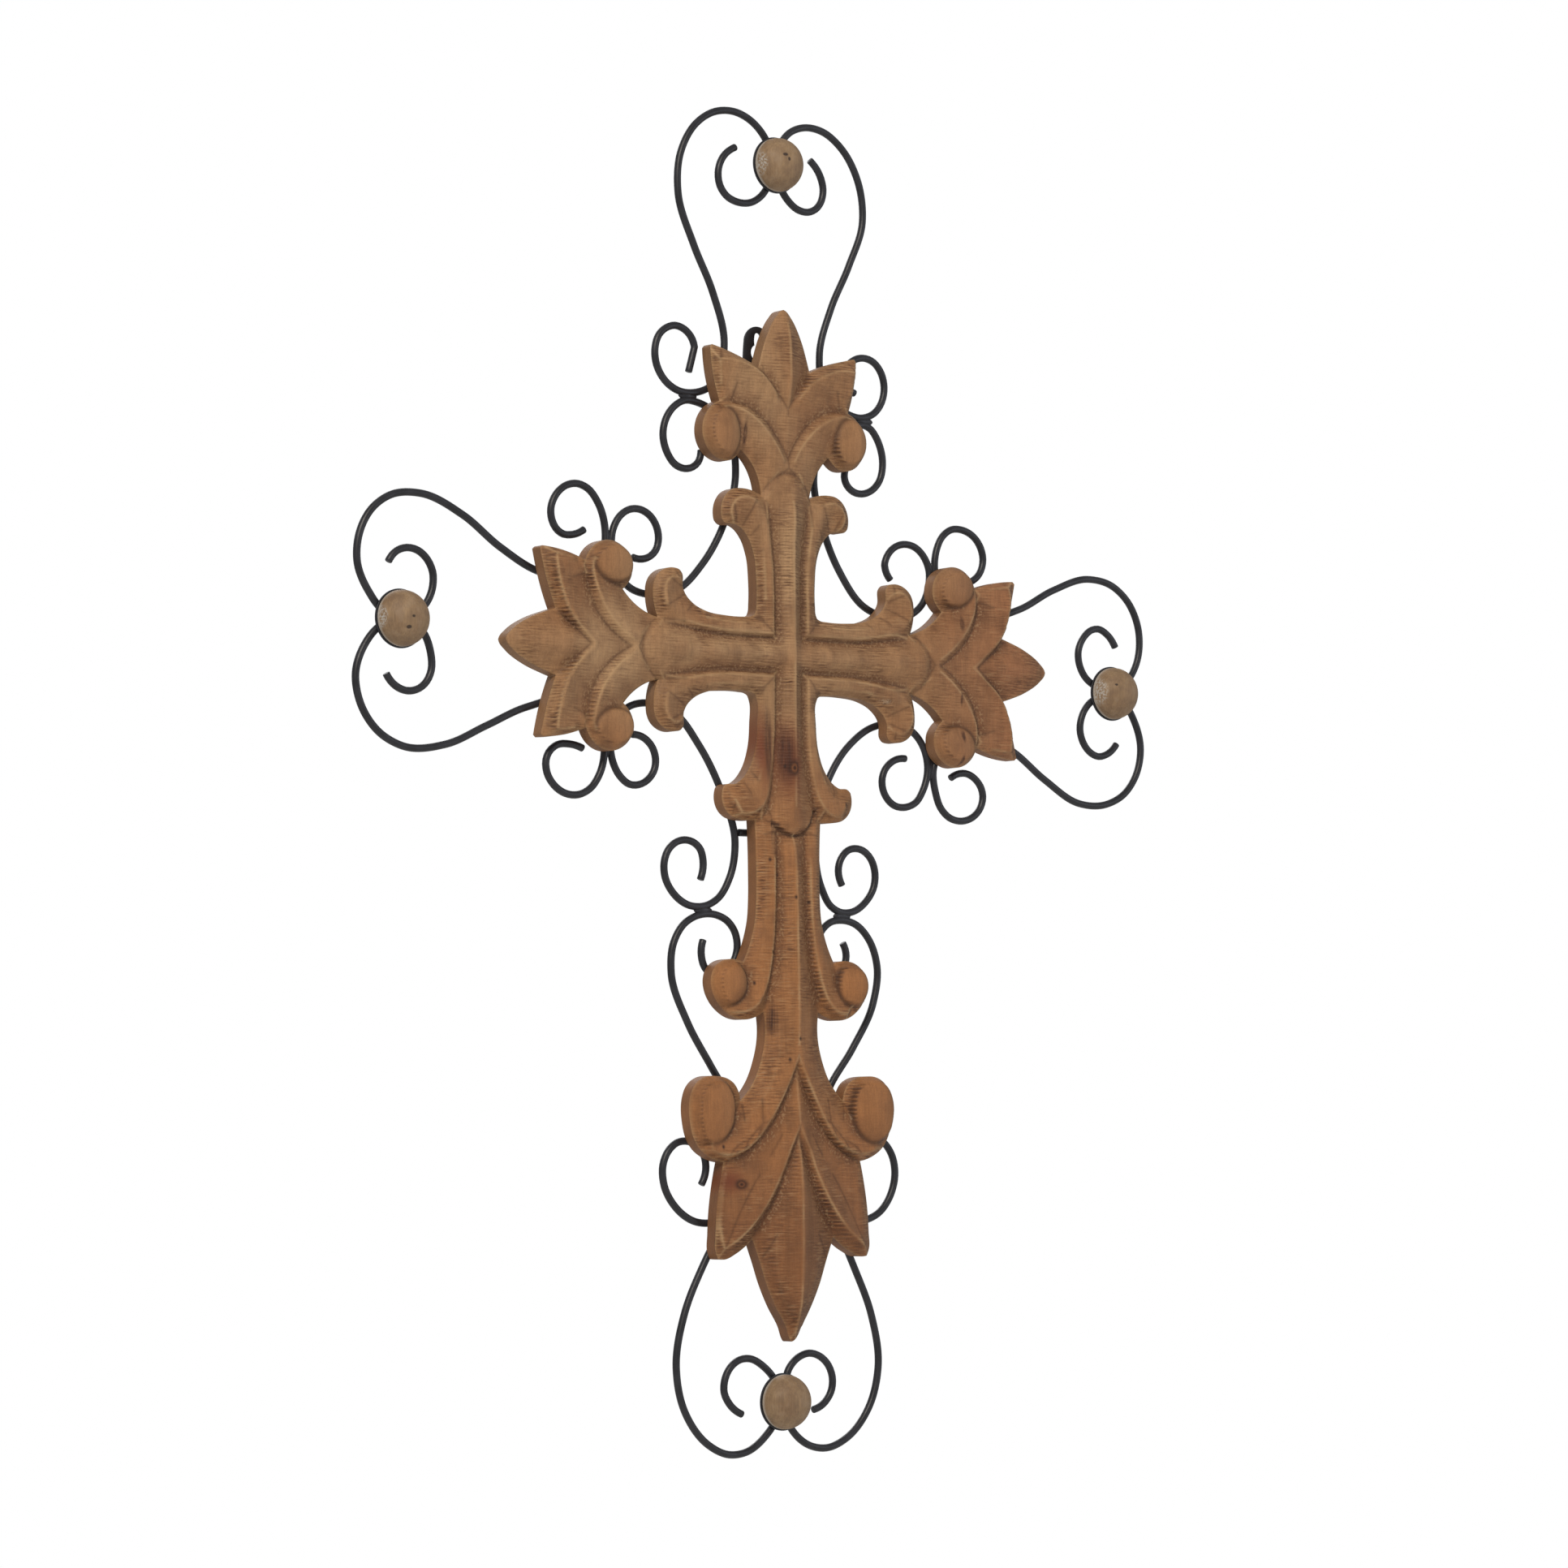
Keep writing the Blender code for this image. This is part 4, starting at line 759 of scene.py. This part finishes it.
rods = sorted(name for name in nodes if name.startswith(("heart_", "scroll_", "tie_bar_")))
rod_lines = {name: centre_line(mesh_of(name)) for name in rods}
print("rods:", len(rods), "with rings:", sorted({len(line) for line in rod_lines.values()}))

# %% Tubes along the lines
ROD_SIDES = 16
ROD_STEP = 2.5 * MM         # from one ring of the tube to the next
END_CHAMFER = 0.5 * MM      # where the burr of the cut was filed off


def rod_tube(name, radius):
    """A round rod along a flat line: a circle extruded step by step, with chamfered flat ends."""
    line = [Vector(p) for p in smooth_chain(rod_lines[name], ROD_STEP, closed=False)]
    runs = [(b - a).normalized() for a, b in zip(line, line[1:])]
    ways = [runs[0], *[(a + b).normalized() for a, b in zip(runs, runs[1:])], runs[-1]]
    bm = bmesh.new()
    turn = Vector((0, 0, 1)).rotation_difference(ways[0]).to_matrix().to_4x4()
    bmesh.ops.create_circle(bm, segments=ROD_SIDES, radius=radius, matrix=Matrix.Translation(line[0]) @ turn)
    ring = bm.edges[:]
    ends = [ring]
    for (a, b), (way, next_way) in zip(zip(line, line[1:]), zip(ways, ways[1:])):
        made = bmesh.ops.extrude_edge_only(bm, edges=ring)["geom"]
        verts = [item for item in made if isinstance(item, bmesh.types.BMVert)]
        ring = [item for item in made if isinstance(item, bmesh.types.BMEdge) and item.is_boundary]
        bmesh.ops.rotate(bm, cent=a, matrix=way.rotation_difference(next_way).to_matrix(), verts=verts)
        bmesh.ops.translate(bm, vec=b - a, verts=verts)
    ends.append(ring)
    for ring in ends:
        bmesh.ops.contextual_create(bm, geom=ring)
    rims = [edge for ring in ends for edge in ring]
    bmesh.ops.bevel(bm, geom=rims, offset=END_CHAMFER, segments=2, affect="EDGES", profile=0.5, material=-1)
    bmesh.ops.recalc_face_normals(bm, faces=bm.faces)
    return bm


for name in rods:
    low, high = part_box(name)
    thickness = high[1] - low[1]    # a bent rod lies flat against the wall, so its depth is its thickness
    finish_piece(rod_tube(name, thickness / 2), "rod_" + name, steel_finish, name)

# %% [markdown]
# ## Small steel pieces
#
# The strap is cut from sheet and has a keyhole to hang by. The washers behind the buttons are turned
# or stamped. Where two rods run side by side a short run of filler joins them, a rounded lump of weld
# a little thinner than the rods. All of it is painted with the rods, so it takes the same finish.

# %% The hanger strap
STRAP_FRONT = -0.9          # a face whose normal's y is below this is the strap's front
STRAP_STEP = 0.8 * MM       # from one point of its outlines to the next
STRAP_ROUND = 0.35 * MM


def hanger():
    """The solid's flat front as smooth loops, filled, pushed back by its thickness and bevelled."""
    solid = mesh_of("hanger_strap")
    face = {f for f in solid.faces if f.normal.y < STRAP_FRONT}
    borders = [e for e in solid.edges if sum(f in face for f in e.link_faces) == 1]
    thick = max(v.co.y for v in solid.verts) - min(v.co.y for v in solid.verts)
    bm = bmesh.new()
    for chain in chains_of(borders):
        loop = smooth_chain([v.co for v in chain[:-1]], STRAP_STEP)
        verts = [bm.verts.new(p) for p in loop]
        for a, b in zip(verts, verts[1:] + verts[:1]):
            bm.edges.new((a, b))
    solid.free()
    made = bmesh.ops.triangle_fill(bm, edges=bm.edges[:], use_beauty=True)["geom"]
    plate = [item for item in made if isinstance(item, bmesh.types.BMFace)]
    pushed = bmesh.ops.extrude_face_region(bm, geom=plate)["geom"]
    verts = [item for item in pushed if isinstance(item, bmesh.types.BMVert)]
    bmesh.ops.translate(bm, vec=(0, thick, 0), verts=verts)
    bmesh.ops.recalc_face_normals(bm, faces=bm.faces)
    edges = [e for e in bm.edges if e.calc_face_angle(0.0) > CAP_ANGLE]
    bmesh.ops.bevel(bm, geom=edges, offset=STRAP_ROUND, segments=2, affect="EDGES", profile=0.5, material=-1)
    finish_piece(bm, "strap_keyhole", steel_finish, "hanger_strap")


hanger()

# %% Filler between paired rods
FILLER_THICK = 4.0 * MM
LUMP_SIZE, LUMP_HEIGHT = 4.0 * MM, 0.3 * MM     # the weld's uneven surface

# Depth of the rods' middle, from the boxes of two of them.
rod_depth = sum((Vector(a) + Vector(b)).y / 4 for a, b in (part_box(name) for name in rods[:2]))
for name in sorted(node for node in nodes if node.startswith("weld_")):
    low, high = (Vector(corner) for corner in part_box(name))
    size, centre = high - low, (low + high) / 2
    centre.y = rod_depth
    bm = bmesh.new()
    bmesh.ops.create_icosphere(bm, subdivisions=4, radius=0.5)
    bmesh.ops.scale(bm, vec=(size.x, FILLER_THICK, size.z), verts=bm.verts)
    for vert in bm.verts:
        vert.co += centre + vert.normal * LUMP_HEIGHT * noise.noise((vert.co + centre) / LUMP_SIZE)
    finish_piece(bm, "filler_" + name, steel_finish, name)
    print("filler size:", [round(v / MM, 1) for v in size])

# %% [markdown]
# ## Turned wooden buttons on steel washers
#
# A button is a high dome from the lathe, left nearly bare: paler and greyer than the board, with fine
# grain, a few cracked knots and the whitish fuzz of old glue at its left edge. A washer of nearly the
# same width shows as a dark line behind it. Both are profiles that are spun round the lathe's axis,
# which here points out of the wall.

# %% Bare turned wood
# Which button, x and z from its middle, then width and height, all in millimetres.
BUTTON_KNOTS = [("left", -4.5, -7, 5.5, 3.6), ("left", -2, 0, 3.4, 2.8), ("top", -5, 4.5, 5.5, 3.4),
                ("top", -2.5, 1.5, 2.8, 4.2), ("right", -9, 5, 3, 2.6)]
BUTTON_SCUFFS = [("right", -17, 2, 8, 36), ("top", -17, -3, 5, 30), ("left", -17.5, 0, 4, 26)]


def button_spot(tree, coords, place, x, z, wide, tall):
    """A spot of a button, measured from the middle of its box in the frame."""
    low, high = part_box("button_" + place)
    middle = (Vector(low) + Vector(high)) / 2 - crossing
    return spot(tree, coords, middle.x / MM + x, middle.z / MM + z, wide, tall)


def turned_wood():
    """Bare turned softwood: grey tan, mottled, a few dark cracks, raw and pale where the edge was cut."""
    material, tree, shader, coords = new_finish("bare_turned_wood")
    fine = grain(tree, coords, 1.0, 18.0, detail=5.0, lean=math.radians(35))
    broad = grain(tree, coords, 9.0, 40.0, detail=2.0, lean=math.radians(35))
    colour = add(tree, "ValToRGB", {"Fac": broad}, stops=[(0.3, "#8c6f51"), (0.7, "#a08361")])
    shade = add(tree, "MapRange", {"Value": fine, "From Min": 0.3, "From Max": 0.7, "To Min": 0.78,
                                   "To Max": 1.14})
    colour = add(tree, "VectorMath", {0: colour.outputs["Color"], "Scale": shade.outputs["Result"]},
                 operation="SCALE").outputs["Vector"]
    mottle = add(tree, "TexNoise", {"Vector": coords, "Scale": per_mm(7), "Detail": 5.0}).outputs["Fac"]
    fleck = add(tree, "TexNoise", {"Vector": coords, "Scale": per_mm(1.3), "Detail": 3.0}).outputs["Fac"]
    colour = tint(tree, colour, [(mottle, 0.5, 0.68), 0.45], "#775f4a")
    colour = tint(tree, colour, [(mottle, 0.48, 0.34), 0.25], "#ac947a")
    for knot in BUTTON_KNOTS:
        colour = tint(tree, colour, [(button_spot(tree, coords, *knot), 0.1, 0.5), 0.9], "#33251d")
    for pale_mark in BUTTON_SCUFFS:
        around = (button_spot(tree, coords, *pale_mark), 0.0, 0.6)
        colour = tint(tree, colour, [around, (fleck, 0.42, 0.6), 0.7], "#c9c5bd")
    raw = add(tree, "Attribute", attribute_name="raw").outputs["Fac"]
    colour = tint(tree, colour, [raw, (mottle, 0.3, 0.6, 0.5), 0.8], "#c6bcae")
    bump = add(tree, "Bump", {"Height": fine, "Strength": 0.4, "Distance": 0.25 * MM})
    tree.links.new(colour, shader.inputs["Base Color"])
    tree.links.new(bump.outputs["Normal"], shader.inputs["Normal"])
    shader.inputs["Roughness"].default_value = 0.6
    return material


button_finish = turned_wood()
print("finish ready:", button_finish.name)

# %% Buttons and washers
LATHE_STEPS = 64
DOME_STEPS = 16
BUTTON_EDGE = 1.5 * MM      # straight edge below the dome, where the wood is raw
RAW_MARGIN = 0.1 * MM       # the dome's lowest ring counts as raw too
BACK_ROUND = 0.5 * MM
WASHER_ROUND = 0.35 * MM


def spun(profile, centre, name, material, solid, raw_from=math.inf):
    """A profile of (radius, depth) points spun round the axis that points out; raw wood from a depth on."""
    bm = bmesh.new()
    verts = [bm.verts.new((centre.x + radius, depth, centre.z)) for radius, depth in profile]
    edges = [bm.edges.new(pair) for pair in zip(verts, verts[1:])]
    bmesh.ops.spin(bm, geom=verts + edges, cent=centre, axis=(0, 1, 0), angle=math.tau, steps=LATHE_STEPS,
                   use_merge=True)
    bmesh.ops.remove_doubles(bm, verts=bm.verts, dist=0.01 * MM)
    bmesh.ops.recalc_face_normals(bm, faces=bm.faces)
    raw = bm.verts.layers.float.new("raw")
    for vert in bm.verts:
        vert[raw] = float(vert.co.y > raw_from)
    finish_piece(bm, name, material, solid)


def arc(start, stop, centre, radius, steps):
    """Points on an arc, angles from the outward radius towards the wall's outside."""
    angles = [start + (stop - start) * i / steps for i in range(steps + 1)]
    return [(centre[0] + radius * math.cos(a), centre[1] - radius * math.sin(a)) for a in angles]


for place in ("top", "left", "right", "foot"):
    low, high = (Vector(corner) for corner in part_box("button_" + place))
    centre = (low + high) / 2
    reach, rise = (high.x - low.x) / 2, high.y - low.y
    crown = rise - BUTTON_EDGE
    dome = [(reach * math.cos(a), low.y + crown * (1 - math.sin(a)))
            for a in (math.pi / 2 * step / DOME_STEPS for step in range(DOME_STEPS))]
    side = arc(-math.pi / 2, 0, (reach - BACK_ROUND, high.y - BACK_ROUND), BACK_ROUND, 4)
    profile = [(0.0, high.y), *side, *dome, (0.0, low.y)]
    spun(profile, centre, "turned_button_" + place, button_finish, "button_" + place,
         raw_from=low.y + crown - RAW_MARGIN)
    low, high = (Vector(corner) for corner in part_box("disc_" + place))
    flat = (high.x - low.x) / 2 - WASHER_ROUND
    lip = [(0.0, high.y), *arc(-math.pi / 2, 0, (flat, high.y - WASHER_ROUND), WASHER_ROUND, 3),
           *arc(0, math.pi / 2, (flat, low.y + WASHER_ROUND), WASHER_ROUND, 3), (0.0, low.y)]
    spun(lip, (low + high) / 2, "washer_" + place, steel_finish, "disc_" + place)

# %% [markdown]
# ## Floor, light and camera
#
# The photograph is a plain product shot: white all round, broad soft light from the front. The cross
# hangs in the air there, so the floor lies well below it, out of the picture. The camera stands left of
# the cross and a little below its middle, far off, with a long lens, so the arms shorten but hardly
# taper. Its place and its turns were found by matching the carving's corners to the photograph.

# %% Floor and world
FLOOR_DROP = 0.55           # the floor lies this far below the cross, in metres
FLOOR_REACH = 4.5
SKY_LIGHT = 0.42            # the white room is seen at full strength but lights the cross less


def studio():
    """A round pale floor, and a world that is white to the eye and softer as a light."""
    bm = bmesh.new()
    bmesh.ops.create_circle(bm, cap_ends=True, segments=96, radius=FLOOR_REACH)
    bmesh.ops.translate(bm, vec=(0, 0, cad_low.z - FLOOR_DROP), verts=bm.verts)
    mesh = bpy.data.meshes.new("floor")
    bm.to_mesh(mesh)
    bm.free()
    floor = bpy.data.objects.new("floor", mesh)
    bpy.context.scene.collection.objects.link(floor)
    material, _, shader, _ = new_finish("pale_floor")
    shader.inputs["Base Color"].default_value = linear("#e9e8e6")
    shader.inputs["Roughness"].default_value = 0.9
    mesh.materials.append(material)
    floor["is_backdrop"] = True
    world = bpy.data.worlds.new("studio")
    world.use_nodes = True
    tree = world.node_tree
    seen, lighting = tree.nodes["Background"], add(tree, "Background")
    seen.inputs["Color"].default_value = linear("#ffffff")
    lighting.inputs["Color"].default_value = linear("#f4f6fa")
    lighting.inputs["Strength"].default_value = SKY_LIGHT
    straight = add(tree, "LightPath").outputs["Is Camera Ray"]
    both = add(tree, "MixShader", {0: straight, 1: lighting.outputs[0], 2: seen.outputs[0]})
    tree.links.new(both.outputs[0], tree.nodes["World Output"].inputs["Surface"])
    bpy.context.scene.world = world
    bpy.context.scene.view_settings.view_transform = "Standard"


studio()
print("floor at", round((cad_low.z - FLOOR_DROP) / MM), "mm")

# %% Soft lights


def soft_light(name, place, power, width, colour="#ffffff"):
    """A square area light at a place, turned to the middle of the cross."""
    data = bpy.data.lights.new(name, "AREA")
    data.energy = power
    data.size = width
    data.color = linear(colour)[:3]
    light = bpy.data.objects.new(name, data)
    light.location = place
    light.rotation_euler = (middle - Vector(place)).to_track_quat("-Z", "Y").to_euler()
    bpy.context.scene.collection.objects.link(light)


middle = (cad_low + cad_high) / 2
soft_light("key", (-2.3, -2.4, 2.2), power=78, width=1.2, colour="#fff5e8")
soft_light("fill", (2.4, -2.4, 0.2), power=10, width=1.6, colour="#eef3ff")
soft_light("back_light", (0.5, 2.2, 1.0), power=20, width=1.5)
print("three lights round", [round(v / MM) for v in middle])

# %% The camera
FOCUS_PIXELS = 6533         # focal length in pixels of the square photograph
PHOTO_SIDE = 1932
SENSOR = 36.0               # width of a full-frame sensor, in millimetres
YAW, PITCH, ROLL = (math.radians(angle) for angle in (38.0, 3.975, -0.455))
STAND = Vector((-2.1855, -2.8241, -0.530))      # where the camera stands, in metres


def photo_camera():
    """The camera that sees the cross as the photograph does."""
    ahead = Vector((math.sin(YAW) * math.cos(PITCH), math.cos(YAW) * math.cos(PITCH), math.sin(PITCH)))
    level = Vector((math.cos(YAW), -math.sin(YAW), 0))
    above = level.cross(ahead)
    right = level * math.cos(ROLL) + above * math.sin(ROLL)
    up = above * math.cos(ROLL) - level * math.sin(ROLL)
    data = bpy.data.cameras.new("photo_camera")
    data.sensor_width = SENSOR
    data.lens = FOCUS_PIXELS / PHOTO_SIDE * SENSOR
    camera = bpy.data.objects.new("photo_camera", data)
    camera.matrix_world = Matrix((right, up, -ahead)).transposed().to_4x4()
    camera.location = STAND
    bpy.context.scene.collection.objects.link(camera)
    bpy.context.scene.camera = camera
    return data.lens


print("lens:", round(photo_camera(), 1), "mm")

# %% Sizes and the end
low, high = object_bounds()
print("visual box in mm:", [round((b - a) / MM, 1) for a, b in zip(low, high)])
